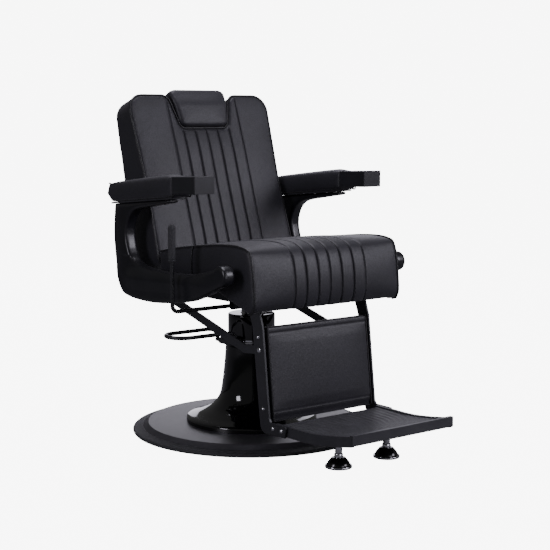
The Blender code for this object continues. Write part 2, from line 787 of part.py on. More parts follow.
def headrest_cushion():
    low = NOTCH_BOTTOM + 0.004
    half = NOTCH_HALF_WIDTH - HEADREST_CLEARANCE
    top = HEADREST_RISE
    right = arc(half - NOTCH_LOW_CORNER, low + NOTCH_LOW_CORNER, NOTCH_LOW_CORNER, 270, 350, 4)
    right += arc(half - 0.003, top - 0.018, 0.016, 0, 90, 3)
    outline = right + [(-x, s) for x, s in reversed(right)]
    curve = bpy.data.curves.new("headrest_cushion", "CURVE")
    curve.dimensions = "2D"
    curve.fill_mode = "BOTH"
    depth = HEADREST_PROUD + BACK_TOP_THICKNESS + 0.004
    curve.extrude = depth / 2 - HEADREST_EDGE
    curve.bevel_depth = HEADREST_EDGE
    curve.bevel_resolution = 1
    curve.offset = -HEADREST_EDGE
    add_outline(curve, outline)
    cushion = place(bpy.data.objects.new("headrest_cushion", curve), LEATHER)
    cushion.rotation_euler = (math.pi / 2, 0, 0)
    cushion.location = (0, depth / 2 - HEADREST_PROUD, 0)
    return realised(cushion)


def headrest_bar():
    half = HEADREST_BAR_WIDTH / 2
    low = (-half, BAR_DEPTH, NOTCH_BOTTOM - BAR_REACH)
    high = (half, BAR_DEPTH + HEADREST_BAR_THICKNESS, NOTCH_BOTTOM + 0.004 - GAP)
    return box("headrest_bar", low, high, STEEL)


# ---- hinges between the seat, the backrest and the footrest
BACK_ROOM_Y = 0.150
BACK_ROOM_Z = BACK_HINGE_Z + 0.050
FRAME_THICKNESS = 0.007
BAR_OUTER = FOOTREST_HALF_WIDTH
BAR_INNER = BAR_OUTER - PLATE
LINK_OUTER = BAR_INNER - RUN
LINK_INNER = LINK_OUTER - PLATE
ARM_PLATE_OUTER = LINK_INNER - RUN
ARM_PLATE_INNER = ARM_PLATE_OUTER - PLATE
ROOM_HALF_WIDTH = BAR_OUTER + 0.006  # of the room for the hinges between the backrest's cheeks
BRACKET_OUTER = ARM_PLATE_INNER - RUN
BRACKET_INNER = BRACKET_OUTER - PLATE
LINK_REAR = (BACK_HINGE_Y - LINK_SET_BACK, BACK_HINGE_Z - LINK_DROP)
LINK_FRONT = (FOOT_HINGE_Y - LINK_SET_BACK, FOOT_HINGE_Z - LINK_DROP)


def shaft_across(name, y, z, half):
    return rod(name, (-half, y, z), (half, y, z), SHAFT_RADIUS, STEEL, 16)


def back_frame():
    low = (-ARM_PLATE_OUTER, BACK_ROOM_Y + 0.010, BACK_ROOM_Z - GAP - FRAME_THICKNESS)
    high = (ARM_PLATE_OUTER, BACK_ROOM_Y + 0.122, BACK_ROOM_Z - GAP)
    return box("back_frame", low, high, MATTE_BLACK)


def hinge_parts(side, sign):
    def span(near, far):
        return sorted((sign * near, sign * far))

    hole = (BACK_HINGE_Y, BACK_HINGE_Z, SHAFT_RADIUS + RUN)
    under = BOARD_BOTTOM - GAP
    back_bracket = [(-0.030, under), (-0.030, under - 0.021), (0.090, under - 0.021)]
    back_bracket += arc(BACK_HINGE_Y, BACK_HINGE_Z, SHAFT_RADIUS + EAR_MARGIN, -60, 150, 8) + [(0.130, under)]
    side_profile(
        "back_bracket_" + side, back_bracket, *span(BRACKET_INNER, BRACKET_OUTER), MATTE_BLACK, [hole]
    )
    frame_low = BACK_ROOM_Z - 2 * GAP - FRAME_THICKNESS
    arm_plate = arc(*LINK_REAR, LINK_WIDTH / 2, 180, 360, 6)
    arm_plate += [(BACK_HINGE_Y + SHAFT_RADIUS + 0.012, BACK_HINGE_Z)]
    arm_plate += [(BACK_HINGE_Y + 0.040, frame_low), (BACK_HINGE_Y - 0.040, frame_low)]
    arm_plate += [(BACK_HINGE_Y - SHAFT_RADIUS - 0.012, BACK_HINGE_Z)]
    pin_hole = (*LINK_REAR, PIVOT_RADIUS + RUN)
    side_profile(
        "back_arm_" + side,
        arm_plate,
        *span(ARM_PLATE_INNER, ARM_PLATE_OUTER),
        MATTE_BLACK,
        [hole, pin_hole],
    )
    head = (PIVOT_RADIUS + 0.003, 0.003)
    pin = rod(
        "link_pin_rear_" + side,
        (sign * (ARM_PLATE_INNER + 0.001), *LINK_REAR),
        (sign * (LINK_OUTER + RUN + 0.001), *LINK_REAR),
        PIVOT_RADIUS,
        STEEL,
        16,
    )
    cap = rod(
        "pin_head",
        (sign * (LINK_OUTER + RUN), *LINK_REAR),
        (sign * (LINK_OUTER + RUN + head[1]), *LINK_REAR),
        head[0],
        STEEL,
        16,
    )
    joined(pin, cap)
    foot_hole = (FOOT_HINGE_Y, FOOT_HINGE_Z, SHAFT_RADIUS + RUN)
    foot_bracket = [(FOOT_HINGE_Y - 0.020, under), (FOOT_HINGE_Y + 0.060, under)]
    foot_bracket += [(FOOT_HINGE_Y + 0.060, under - 0.010)]
    foot_bracket += arc(FOOT_HINGE_Y, FOOT_HINGE_Z, SHAFT_RADIUS + 0.008, 0, -180, 6)
    side_profile(
        "footrest_bracket_" + side,
        foot_bracket[::-1],
        *span(LINK_INNER, LINK_OUTER),
        MATTE_BLACK,
        [foot_hole],
    )


def link_bar(side, sign):
    """A flat bar from the backrest's lower arm to the footrest, level for its last stretch."""
    bend = (LINK_BEND_Y, LINK_FRONT[1] - LINK_BEND_DROP)
    half = LINK_WIDTH / 2
    slope = math.atan2(LINK_REAR[1] - bend[1], LINK_REAR[0] - bend[0])
    angle = math.degrees(slope)
    up = (-half * math.sin(slope), half * math.cos(slope))
    outline = arc(*LINK_REAR, half, angle - 90, angle + 90, 8)
    outline += [(bend[0] + up[0], bend[1] + up[1])]
    outline += arc(*LINK_FRONT, half, 90, 270, 8)
    outline += [(bend[0] - up[0], bend[1] - up[1])]
    holes = [(*LINK_REAR, PIVOT_RADIUS + RUN), (*LINK_FRONT, PIVOT_RADIUS + RUN)]
    low, high = sorted((sign * LINK_INNER, sign * LINK_OUTER))
    return side_profile("link_bar_" + side, outline, low, high, MATTE_BLACK, holes)


# ---- footrest: two cranked side bars, a padded calf panel and a ribbed cast footplate
def bar_middle(z):
    """The y of the side bar's middle line at height z, under its bend."""
    return FOOT_HINGE_Y - BAR_CRANK - (BEND_Z - z) * math.tan(BAR_LEAN)


PLATE_LEVEL = PLATE_TOP - PLATE_HEIGHT / 2
PLATE_NARROWING = 0.18  # of the footplate towards its front, per metre
BOSS_HEIGHT = 0.024
TOP_RIVET_Z = LINK_FRONT[1] + 0.034
LOW_RIVET_Z = PLATE_TOP + 0.032
BOLT_YS = (-0.350, -0.386)


def footrest_bar(side, sign):
    half = BAR_WIDTH / 2
    corner = 0.026
    low = PLATE_TOP - PLATE_HEIGHT - 0.004
    rear = bar_middle(low) + half
    front_top = PLATE_TOP
    outline = arc(FOOT_HINGE_Y, FOOT_HINGE_Z, half, -28, 152, 8)
    outline += [(bar_middle(BEND_Z) - half, BEND_Z)]
    outline += [(bar_middle(front_top + 0.010) - half, front_top + 0.010)]
    outline += [(bar_middle(front_top) - half - 0.006, front_top), (BOLT_YS[1] - 0.014, front_top)]
    outline += [(BOLT_YS[1] - 0.020, front_top - 0.006), (BOLT_YS[1] - 0.014, low + 0.003)]
    outline += arc(rear - corner, low + corner, corner, 270, 353, 5)
    outline += [(bar_middle(BEND_Z) + half, BEND_Z)]
    holes = [(FOOT_HINGE_Y, FOOT_HINGE_Z, SHAFT_RADIUS + RUN), (*LINK_FRONT, PIVOT_RADIUS + RUN)]
    holes += [(bar_middle(z), z, RIVET_RADIUS + RUN) for z in (TOP_RIVET_Z, LOW_RIVET_Z)]
    holes += [(y, PLATE_LEVEL, RIVET_RADIUS + RUN) for y in BOLT_YS]
    low_x, high_x = sorted((sign * BAR_INNER, sign * BAR_OUTER))
    return side_profile("footrest_bar_" + side, outline, low_x, high_x, MATTE_BLACK, holes)


def fastener(name, sign, y, z, shank, head, inner):
    """A domed head outside the side bar, with its shank through the bar to inner."""
    profile = [(0.0, 0.0035), (head * 0.7, 0.0026), (head, 0.0), (shank, 0.0)]
    profile += [(shank, inner - BAR_OUTER - GAP), (0.0, inner - BAR_OUTER - GAP)]
    rivet = turned(name, profile, CHROME, steps=12)
    turn = Matrix.Rotation(sign * math.pi / 2, 4, "Y")
    rivet.data.transform(Matrix.Translation((sign * (BAR_OUTER + GAP), y, z)) @ turn)
    rivet.data.update()


def fasteners(side, sign):
    inner = BAR_INNER + 0.0005
    for level, z in (("upper", TOP_RIVET_Z), ("lower", LOW_RIVET_Z)):
        fastener(f"panel_rivet_{level}_{side}", sign, bar_middle(z), z, RIVET_RADIUS, RIVET_HEAD_RADIUS, inner)
    for place_name, y in zip(("rear", "front"), BOLT_YS):
        fastener(
            f"plate_bolt_{place_name}_{side}", sign, y, PLATE_LEVEL, RIVET_RADIUS, BOLT_HEAD_RADIUS, inner
        )
    fastener(f"link_pivot_{side}", sign, *LINK_FRONT, PIVOT_RADIUS, PIVOT_HEAD_RADIUS, LINK_INNER)


def calf_panel():
    low = 0.104
    high = BEND_Z - 0.001
    face = BAR_WIDTH / 2 + 0.002
    thick = CALF_THICKNESS
    outline = [
        (bar_middle(low) - face, low),
        (bar_middle(high) - face, high),
        (bar_middle(high) - face + thick, high),
        (bar_middle(low) - face + thick, low),
    ]
    half = LINK_INNER - 2 * RUN
    return side_profile("calf_panel", outline, -half, half, LEATHER, edge=0.004)


def plate_rise(y):
    """How far the footplate has risen at y: level at first, then curving up to its front edge."""
    level_to = -0.470
    return PLATE_FRONT_RISE * max(0.0, (y - level_to) / (PLATE_FRONT - level_to)) ** 1.6


def footplate_level(y):
    return PLATE_TOP - 0.004 + plate_rise(y)


def footplate():
    """A cast tray: ribs across its top, a rail down each side and a lip along the front."""
    outer = BAR_INNER - GAP
    rail = 0.010
    ribs = []
    count = int((PLATE_REAR - PLATE_FRONT - 0.014) / RIB_PITCH)
    for i in range(count):
        start = PLATE_REAR - 0.004 - i * RIB_PITCH
        for along, up in ((0.0, 0.0), (0.30, 0.0), (0.45, 1.0), (0.80, 1.0)):
            y = start - along * RIB_PITCH
            ribs.append((y, footplate_level(y) - 0.003 + up * RIB_HEIGHT))
    stations = [PLATE_FRONT + (PLATE_REAR - PLATE_FRONT) * i / 8 for i in range(9)]
    front = [(PLATE_FRONT + 0.004, footplate_level(PLATE_FRONT) - 0.003)]
    under = [(y, footplate_level(y) - 0.010) for y in stations]
    under[0] = (PLATE_FRONT + 0.004, under[0][1])
    tray = side_profile("footplate", ribs + front + under, -outer + 0.004, outer - 0.004, MATTE_BLACK)
    sides = []
    for side, sign in SIDES:
        top = [(y, PLATE_TOP - 0.001 + plate_rise(y)) for y in reversed(stations)]
        low = [(y, PLATE_TOP - PLATE_HEIGHT + 0.001 + plate_rise(y)) for y in stations]
        low_x, high_x = sorted((sign * (outer - rail), sign * outer))
        sides.append(side_profile("rail_" + side, top + low, low_x, high_x, MATTE_BLACK))
    lip_z = PLATE_TOP + PLATE_FRONT_RISE
    lip = box(
        "lip",
        (-outer + 0.0005, PLATE_FRONT - 0.005, lip_z - PLATE_HEIGHT + 0.004),
        (outer - 0.0005, PLATE_FRONT + 0.0065, lip_z + 0.001),
        MATTE_BLACK,
    )
    bosses = [foot_cylinder("boss_" + side, sign, FOOT_STEM_RADIUS + 0.006, 0.004) for side, sign in SIDES]
    bores = [foot_cylinder("bore_" + side, sign, FOOT_STEM_RADIUS + RUN, 0.010) for side, sign in SIDES]
    plate = joined(tray, *sides, lip, *bosses, solver="MANIFOLD")
    plate = joined(plate, *bores, operation="DIFFERENCE", solver="MANIFOLD")
    narrowing_from = BOLT_YS[1] - 0.014
    for vertex in plate.data.vertices:
        vertex.co.x *= 1.0 - PLATE_NARROWING * max(0.0, narrowing_from - vertex.co.y)
    return plate


def foot_cylinder(name, sign, radius, depth):
    """A cylinder round a foot's stem, whose top is this deep under the tray's surface."""
    narrowed = 1.0 - PLATE_NARROWING * max(0.0, BOLT_YS[1] - 0.014 - FOOT_Y)
    top = footplate_level(FOOT_Y) - depth
    x = sign * FOOT_X / narrowed
    return rod(name, (x, FOOT_Y, top - BOSS_HEIGHT), (x, FOOT_Y, top), radius, MATTE_BLACK, 20)


def levelling_foot(side, sign):
    """A chromed stem screwed into the footplate's boss, on a round pad."""
    top = footplate_level(FOOT_Y) - 0.010 - GAP - FOOT_TRAVEL
    bottom = 0.0008
    rim = FOOT_PAD_RADIUS
    profile = [
        (0.0, top),
        (FOOT_STEM_RADIUS, top),
        (FOOT_STEM_RADIUS, bottom + 0.028),
        (FOOT_STEM_RADIUS + 0.006, bottom + 0.023),
        (rim - 0.010, bottom + 0.012),
        (rim - 0.002, bottom + 0.006),
        (rim, bottom + 0.003),
        (rim - 0.001, bottom),
        (0.0, bottom),
    ]
    foot = turned("levelling_foot_" + side, profile, CHROME, steps=28)
    foot.data.transform(Matrix.Translation((sign * FOOT_X, FOOT_Y, 0.0)))
    foot.data.update()


# ---- recline lever: a bent rod in a bearing under the seat, with a sleeve grip
def recline_lever():
    radius = 0.018
    inner_end = -BOX_HALF_WIDTH + 0.060
    path = [(inner_end, LEVER_Z), (-LEVER_X + radius, LEVER_Z)]
    path += arc(-LEVER_X + radius, LEVER_Z + radius, radius, 260, 180, 5)
    path += [(-LEVER_X, LEVER_TOP - 0.006)]
    realised(tube("recline_rod", [(x, LEVER_Y, z) for x, z in path], ROD_RADIUS, MATTE_BLACK))
    tip = LEVER_TOP
    low = tip - GRIP_LENGTH
    dome = arc(0.0, tip - GRIP_RADIUS, GRIP_RADIUS, 90, 0, 4)
    profile = dome + [(GRIP_RADIUS, low), (ROD_RADIUS + GAP, low), (ROD_RADIUS + GAP, tip - 0.006 + GAP)]
    profile += [(0.0, tip - 0.006 + GAP)]
    grip = turned("recline_grip", profile, RUBBER, steps=20)
    grip.data.transform(Matrix.Translation((-LEVER_X, LEVER_Y, 0.0)))
    grip.data.update()


def lever_bearing():
    """Two rounded ears under the mechanism box that the lever's rod turns in."""
    top = BOX_BOTTOM - GAP
    outer = -BOX_HALF_WIDTH + 0.002
    side_profile(
        "lever_bearing",
        [(LEVER_Y - 0.012, top), (LEVER_Y + 0.012, top)] + arc(LEVER_Y, LEVER_Z, 0.012, 0, -180, 8),
        outer,
        outer + 0.050,
        MATTE_BLACK,
        [(LEVER_Y, LEVER_Z, ROD_RADIUS + RUN)],
    )


# ---- the whole chair, then each moving group hung on an empty at its joint
def hang_moving_groups():
    """The pump turns on the base, the seat rides up on the ram, and the rest moves on the seat."""
    swivel = pivot("swivel_axis", (0.0, 0.0, COLUMN_TOP))
    lift = pivot("lift_axis", (0.0, 0.0, RAM_BOTTOM))
    back = pivot("back_hinge_axis", (0.0, BACK_HINGE_Y, BACK_HINGE_Z))
    headrest = pivot("headrest_slide", (0.0, BACK_PLANE_Y, BACK_PLANE_Z))
    footrest = pivot("footrest_hinge_axis", (0.0, FOOT_HINGE_Y, FOOT_HINGE_Z))
    link = pivot("link_axis", (0.0, *LINK_FRONT))
    pump = pivot("pump_lever_axis", (PUMP_SHAFT_X, 0.0, PUMP_SHAFT_Z))
    lever = pivot("recline_lever_axis", (-LEVER_X, LEVER_Y, LEVER_Z))
    feet = {}
    for side, sign in SIDES:
        feet["levelling_foot_" + side] = pivot("foot_screw_" + side, (sign * FOOT_X, FOOT_Y, 0.0))
    groups = (
        (swivel, ("hydraulic_cylinder", "pump_collar", "pump_cover", "pump_bracket")),
        (pump, ("pump_lever",)),
        (back, ("back_cushion", "back_frame", "back_arm_", "link_pin_rear_")),
        (headrest, ("headrest_",)),
        (footrest, ("footrest_bar_", "calf_panel", "footplate")),
        (footrest, ("panel_rivet_", "plate_bolt_", "link_pivot_")),
        (link, ("link_bar_",)),
        (lever, ("recline_rod", "recline_grip")),
        (lift, ("lift_ram", "seat_", "mechanism_box", "arm_", "back_bracket_", "back_shaft")),
        (lift, ("footrest_bracket_", "footrest_shaft", "lever_bearing")),
    )
    for empty, names in groups:
        hang(empty, *[obj for obj in CHAIR.objects if obj.type == "MESH" and obj.name.startswith(names)])
    for name, screw in feet.items():
        hang(screw, bpy.data.objects[name])
    hang(swivel, pump, lift)
    hang(lift, back, footrest, lever)
    hang(back, headrest)
    hang(footrest, link, *feet.values())


def hydraulic_barber_chair():
    base_plate()
    base_rim_ring()
    column_cover()
    base_socket()
    swivel_bearing()
    hydraulic_cylinder()
    pump_collar()
    pump_cover()
    pump_bracket()
    pump_lever()
    lift_ram()
    seat_hub()
    mechanism_box()
    seat_board()
    seat_cushion()
    for side, sign in SIDES:
        arm_parts(side, sign)
        hinge_parts(side, sign)
        link_bar(side, sign)
        footrest_bar(side, sign)
        fasteners(side, sign)
        levelling_foot(side, sign)
    shaft_across("back_shaft", BACK_HINGE_Y, BACK_HINGE_Z, ARM_PLATE_OUTER)
    shaft_across("footrest_shaft", FOOT_HINGE_Y, FOOT_HINGE_Z, BAR_OUTER)
    back_cushion()
    back_frame()
    laid_back([headrest_cushion(), headrest_bar()])
    calf_panel()
    footplate()
    recline_lever()
    lever_bearing()
    hang_moving_groups()


hydraulic_barber_chair()
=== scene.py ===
import math

import bmesh
import bpy
from mathutils import Matrix, Vector
from mathutils.kdtree import KDTree


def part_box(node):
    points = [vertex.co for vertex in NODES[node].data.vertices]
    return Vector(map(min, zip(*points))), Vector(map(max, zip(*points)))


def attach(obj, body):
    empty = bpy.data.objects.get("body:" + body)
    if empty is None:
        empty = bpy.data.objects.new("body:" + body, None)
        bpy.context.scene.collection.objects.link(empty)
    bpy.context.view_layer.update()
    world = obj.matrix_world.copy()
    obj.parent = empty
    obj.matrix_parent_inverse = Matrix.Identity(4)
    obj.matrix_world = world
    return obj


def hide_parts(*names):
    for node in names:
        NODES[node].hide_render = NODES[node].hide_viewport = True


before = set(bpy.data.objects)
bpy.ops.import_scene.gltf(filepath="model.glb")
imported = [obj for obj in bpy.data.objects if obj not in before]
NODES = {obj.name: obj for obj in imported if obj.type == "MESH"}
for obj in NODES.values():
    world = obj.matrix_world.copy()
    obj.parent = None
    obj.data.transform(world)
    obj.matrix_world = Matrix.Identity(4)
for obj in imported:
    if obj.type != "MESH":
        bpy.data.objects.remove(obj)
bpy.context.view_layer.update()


# ---------------------------------------------------------------- studio
# A plain pale floor that runs out of sight, five soft boxes, of which the biggest light comes from
# the right of the camera, and the camera at the height of a standing person's waist.
def srgb(text):
    """A linear RGBA colour from an sRGB hex value."""
    parts = [int(text[i : i + 2], 16) / 255 for i in (1, 3, 5)]
    return (*[c / 12.92 if c <= 0.04045 else ((c + 0.055) / 1.055) ** 2.4 for c in parts], 1.0)


def add(material, kind, inputs=None, **settings):
    """Adds a node with its settings, and its sockets' values or links."""
    node = material.node_tree.nodes.new(kind)
    for name, value in settings.items():
        setattr(node, name, value)
    for name, value in (inputs or {}).items():
        if isinstance(value, bpy.types.NodeSocket):
            material.node_tree.links.new(value, node.inputs[name])
        else:
            node.inputs[name].default_value = value
    return node


def new_finish(name, **sockets):
    """A material with one Principled shader, and its constant sockets set."""
    material = bpy.data.materials.new(name)
    material.use_nodes = True
    shader = material.node_tree.nodes["Principled BSDF"]
    for socket, value in sockets.items():
        shader.inputs[socket.replace("_", " ")].default_value = value
    return material


def feed(material, socket, source):
    material.node_tree.links.new(source, material.node_tree.nodes["Principled BSDF"].inputs[socket])


# The floor and the backdrop show white to the camera alone. The chair meets a mid grey floor and a
# dim room, so that little light comes up from below.
SHOWN_WHITE = 8.0
floor_paint = new_finish("pale_floor", Base_Color=srgb("#6E6E70"), Roughness=0.9)
seen = add(floor_paint, "ShaderNodeLightPath").outputs["Is Camera Ray"]
glow = add(floor_paint, "ShaderNodeMath", {0: seen, 1: SHOWN_WHITE}, operation="MULTIPLY")
feed(floor_paint, "Emission Strength", glow.outputs["Value"])
floor_paint.node_tree.nodes["Principled BSDF"].inputs["Emission Color"].default_value = (1, 1, 1, 1)
bpy.ops.mesh.primitive_plane_add(size=80, location=(0, 0, 0))
studio_floor = bpy.context.object
studio_floor.name = "studio_floor"
studio_floor.data.materials.append(floor_paint)

world = bpy.data.worlds.new("studio_white")
world.use_nodes = True
room = world.node_tree.nodes["Background"]
room.inputs["Color"].default_value = (1, 1, 1, 1)
shown = world.node_tree.nodes.new("ShaderNodeLightPath")
bright = world.node_tree.nodes.new("ShaderNodeMapRange")
bright.inputs["To Min"].default_value = 0.10
bright.inputs["To Max"].default_value = SHOWN_WHITE
world.node_tree.links.new(shown.outputs["Is Camera Ray"], bright.inputs["Value"])
world.node_tree.links.new(bright.outputs["Result"], room.inputs["Strength"])
bpy.context.scene.world = world


def soft_box(name, place, aim, width, power):
    bpy.ops.object.light_add(type="AREA", location=place)
    lamp = bpy.context.object
    lamp.name = name
    lamp.data.shape = "RECTANGLE"
    lamp.data.size = width
    lamp.data.size_y = width * 1.4
    lamp.data.energy = power
    lamp.data.color = (1.0, 0.975, 1.10)
    lamp.visible_camera = False
    lamp.rotation_euler = (Vector(aim) - Vector(place)).to_track_quat("-Z", "Y").to_euler()


soft_box("key_box", (2.4, -3.6, 2.3), (0, -0.1, 0.6), 1.5, 92)
soft_box("fill_box", (-3.6, -0.2, 1.6), (0, 0, 0.5), 0.9, 34)
soft_box("top_box", (0.3, 0.6, 3.4), (0, 0, 0.4), 1.8, 62)
soft_box("front_box", (0.3, -4.3, 0.6), (0, -0.3, 0.4), 1.4, 24)
soft_box("back_box", (2.6, 3.4, 1.0), (0, 0, 0.1), 2.4, 40)

target = Vector((0.0546, -0.0422, 0.455))
viewpoint = Vector((-2.2527, -3.0220, 0.9190))
bpy.ops.object.camera_add(location=viewpoint)
camera = bpy.context.object
camera.data.lens = 85
camera.data.sensor_width = 36
camera.rotation_euler = (target - viewpoint).to_track_quat("-Z", "Y").to_euler()
bpy.context.scene.camera = camera


# ---------------------------------------------------------------- base plate and rim ring
# The base is a heavy cast-iron disc, turned on top and powder coated satin black. Its edge slopes
# down to a ring of moulded rubber that keeps it from marking the floor.
def begin(piece=None):
    """Leaves edit mode and selects nothing but the piece, so that an operator acts on it alone."""
    if bpy.context.object and bpy.context.object.mode != "OBJECT":
        bpy.ops.object.mode_set(mode="OBJECT")
    bpy.ops.object.select_all(action="DESELECT")
    if piece:
        piece.select_set(True)
        bpy.context.view_layer.objects.active = piece


def finished(piece, name, material, smooth=35):
    """Names the piece, bakes its place into its mesh, shades it and gives it its finish."""
    begin(piece)
    bpy.ops.object.transform_apply(location=True, rotation=True, scale=True)
    piece.name = name
    piece.data.name = name
    piece.data.materials.clear()
    piece.data.materials.append(material)
    bpy.ops.object.shade_smooth_by_angle(angle=math.radians(smooth))
    return piece


def lathed(name, profile, material, around=(0.0, 0.0), segments=128, hollow=False, smooth=35):
    """A piece turned about Z: a ring is extruded and resized through the (r, z) profile."""
    begin()
    x, y = around
    radius, height = profile[0]
    bpy.ops.mesh.primitive_circle_add(vertices=segments, radius=radius, location=(x, y, height))
    piece = bpy.context.object
    bpy.ops.object.mode_set(mode="EDIT")
    for (r0, z0), (r1, z1) in zip(profile, profile[1:]):
        bpy.ops.mesh.extrude_region_move(TRANSFORM_OT_translate={"value": (0, 0, z1 - z0)})
        bpy.ops.transform.resize(value=(r1 / r0, r1 / r0, 1), center_override=(x, y, z1))
    bpy.ops.mesh.select_all(action="DESELECT")
    bpy.ops.mesh.select_mode(type="EDGE")
    bpy.ops.mesh.select_non_manifold()
    if hollow:
        bpy.ops.mesh.bridge_edge_loops()
    else:
        bpy.ops.mesh.fill_holes(sides=0)
    bpy.ops.mesh.select_all(action="SELECT")
    bpy.ops.mesh.normals_make_consistent(inside=False)
    return finished(piece, name, material, smooth)


def rounded(x, z, radius, start, end, steps=6):
    """Points round a corner of a profile, from the start angle to the end angle in degrees."""
    turns = [math.radians(start + (end - start) * i / steps) for i in range(steps + 1)]
    return [(x + radius * math.cos(turn), z + radius * math.sin(turn)) for turn in turns]


def coordinates(material):
    return add(material, "ShaderNodeTexCoord").outputs["Object"]


def powder_coat(name, colour, speck, roughness, grit_mm):
    """Powder coat: a fine orange peel at the size of the fused grains, and a slightly uneven gloss."""
    coat = new_finish(name)
    where = coordinates(coat)
    peel = add(coat, "ShaderNodeTexNoise", {"Vector": where, "Scale": 1000 / grit_mm, "Detail": 3.0})
    patch = add(coat, "ShaderNodeTexNoise", {"Vector": where, "Scale": 14.0, "Detail": 4.0})
    mottled = add(coat, "ShaderNodeValToRGB", {"Fac": patch.outputs["Fac"]})
    for stop, place, tone in zip(mottled.color_ramp.elements, (0.35, 0.70), (colour, speck)):
        stop.position = place
        stop.color = srgb(tone)
    spread = {"To Min": roughness - 0.06, "To Max": roughness + 0.08}
    gloss = add(coat, "ShaderNodeMapRange", {"Value": peel.outputs["Fac"], **spread})
    depth = {"Strength": 0.25, "Distance": 0.0002}
    bump = add(coat, "ShaderNodeBump", {"Height": peel.outputs["Fac"], **depth})
    feed(coat, "Base Color", mottled.outputs["Color"])
    feed(coat, "Roughness", gloss.outputs["Result"])
    feed(coat, "Normal", bump.outputs["Normal"])
    return coat


base_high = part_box("base_plate")[1]
rim_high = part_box("base_rim_ring")[1]
turned_flat = 0.190
slope_start = base_high.x - 0.016
cast_iron_coat = powder_coat("satin_powder_coat_on_cast_iron", "#37363A", "#414044", 0.44, 1.6)
base_disc = lathed(
    "base_disc",
    [(0.0002, base_high.z), (turned_flat, base_high.z)]
    + rounded(slope_start, base_high.z - 0.003, 0.003, 90, 20)
    + [(base_high.x - 0.001, rim_high.z + 0.0006)]
    + [(base_high.x, rim_high.z - 0.0006), (base_high.x, 0.001), (base_high.x - 0.001, 0.0)]
    + [(0.0002, 0.0)],
    cast_iron_coat,
    segments=192,
)
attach(base_disc, "base")
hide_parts("base_plate")

# Moulded rubber has a dull bloom and fine pale specks of filler, about 1 mm apart.
bloomed_rubber = new_finish("bloomed_black_rubber", Specular_IOR_Level=0.35)
rubber_at = coordinates(bloomed_rubber)
filler = add(bloomed_rubber, "ShaderNodeTexNoise", {"Vector": rubber_at, "Scale": 620.0, "Detail": 2.0})
bloom = add(bloomed_rubber, "ShaderNodeValToRGB", {"Fac": filler.outputs["Fac"]})
for stop, place, tone in zip(bloom.color_ramp.elements, (0.40, 0.66), ("#262628", "#4A4A4E")):
    stop.position = place
    stop.color = srgb(tone)
dullness = {"To Min": 0.55, "To Max": 0.75}
dull = add(bloomed_rubber, "ShaderNodeMapRange", {"Value": filler.outputs["Fac"], **dullness})
pit_depth = {"Strength": 0.3, "Distance": 0.0003}
pits = add(bloomed_rubber, "ShaderNodeBump", {"Height": filler.outputs["Fac"], **pit_depth})
feed(bloomed_rubber, "Base Color", bloom.outputs["Color"])
feed(bloomed_rubber, "Roughness", dull.outputs["Result"])
feed(bloomed_rubber, "Normal", pits.outputs["Normal"])

rim_inner = base_high.x + 0.0003
rim_ring = lathed(
    "rim_ring",
    [(rim_inner, rim_high.z - 0.0008), (rim_inner + 0.002, rim_high.z)]
    + [(rim_high.x - 0.010, rim_high.z - 0.0042)]
    + rounded(rim_high.x - 0.0055, rim_high.z - 0.0105, 0.0055, 78, -8, 8)
    + [(rim_high.x - 0.0012, 0.0012), (rim_high.x - 0.0024, 0.0), (rim_inner, 0.0)],
    bloomed_rubber,
    segments=192,
    hollow=True,
)
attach(rim_ring, "base")
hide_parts("base_rim_ring")


# ---------------------------------------------------------------- column cover
# A steel tube spun into a trumpet, 4 mm thick, stove enamelled gloss black. It stands on its rolled
# foot over the base's socket, and the enamel mirrors the room in long streaks.
cover_low, cover_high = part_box("column_cover")
neck = 0.0755
foot = cover_high.x
wall = 0.004
flare_rise = cover_high.z - cover_low.z
# Shares of the spread from the neck to the foot, and of the height.
flare = ((0.0, 1.0), (0.03, 0.78), (0.094, 0.49), (0.172, 0.313), (0.365, 0.194), (0.657, 0.118))


def smooth_line(points, steps=6):
    """Points on a smooth line through the given ones."""
    ends = [2 * Vector(points[0]) - Vector(points[1])] + [Vector(p) for p in points]
    ends.append(2 * Vector(points[-1]) - Vector(points[-2]))
    line = []
    for a, b, c, d in zip(ends, ends[1:], ends[2:], ends[3:]):
        for step in range(steps):
            t = step / steps
            line.append(
                b
                + 0.5 * t * (c - a)
                + t * t * (a - 2.5 * b + 2 * c - 0.5 * d)
                + t**3 * (1.5 * (b - c) + 0.5 * (d - a))
            )
    return line + [Vector(points[-1])]


gloss_enamel = new_finish(
    "gloss_black_stove_enamel",
    Base_Color=srgb("#08080A"),
    Roughness=0.07,
    Coat_Weight=0.6,
    Coat_Roughness=0.03,
)
enamel_at = coordinates(gloss_enamel)
ripple = add(gloss_enamel, "ShaderNodeTexNoise", {"Vector": enamel_at, "Scale": 38.0, "Detail": 1.0})
sag = {"Strength": 0.12, "Distance": 0.0006}
wave = add(gloss_enamel, "ShaderNodeBump", {"Height": ripple.outputs["Fac"], **sag})
haziness = {"To Min": 0.05, "To Max": 0.10}
haze = add(gloss_enamel, "ShaderNodeMapRange", {"Value": ripple.outputs["Fac"], **haziness})
feed(gloss_enamel, "Roughness", haze.outputs["Result"])
feed(gloss_enamel, "Normal", wave.outputs["Normal"])

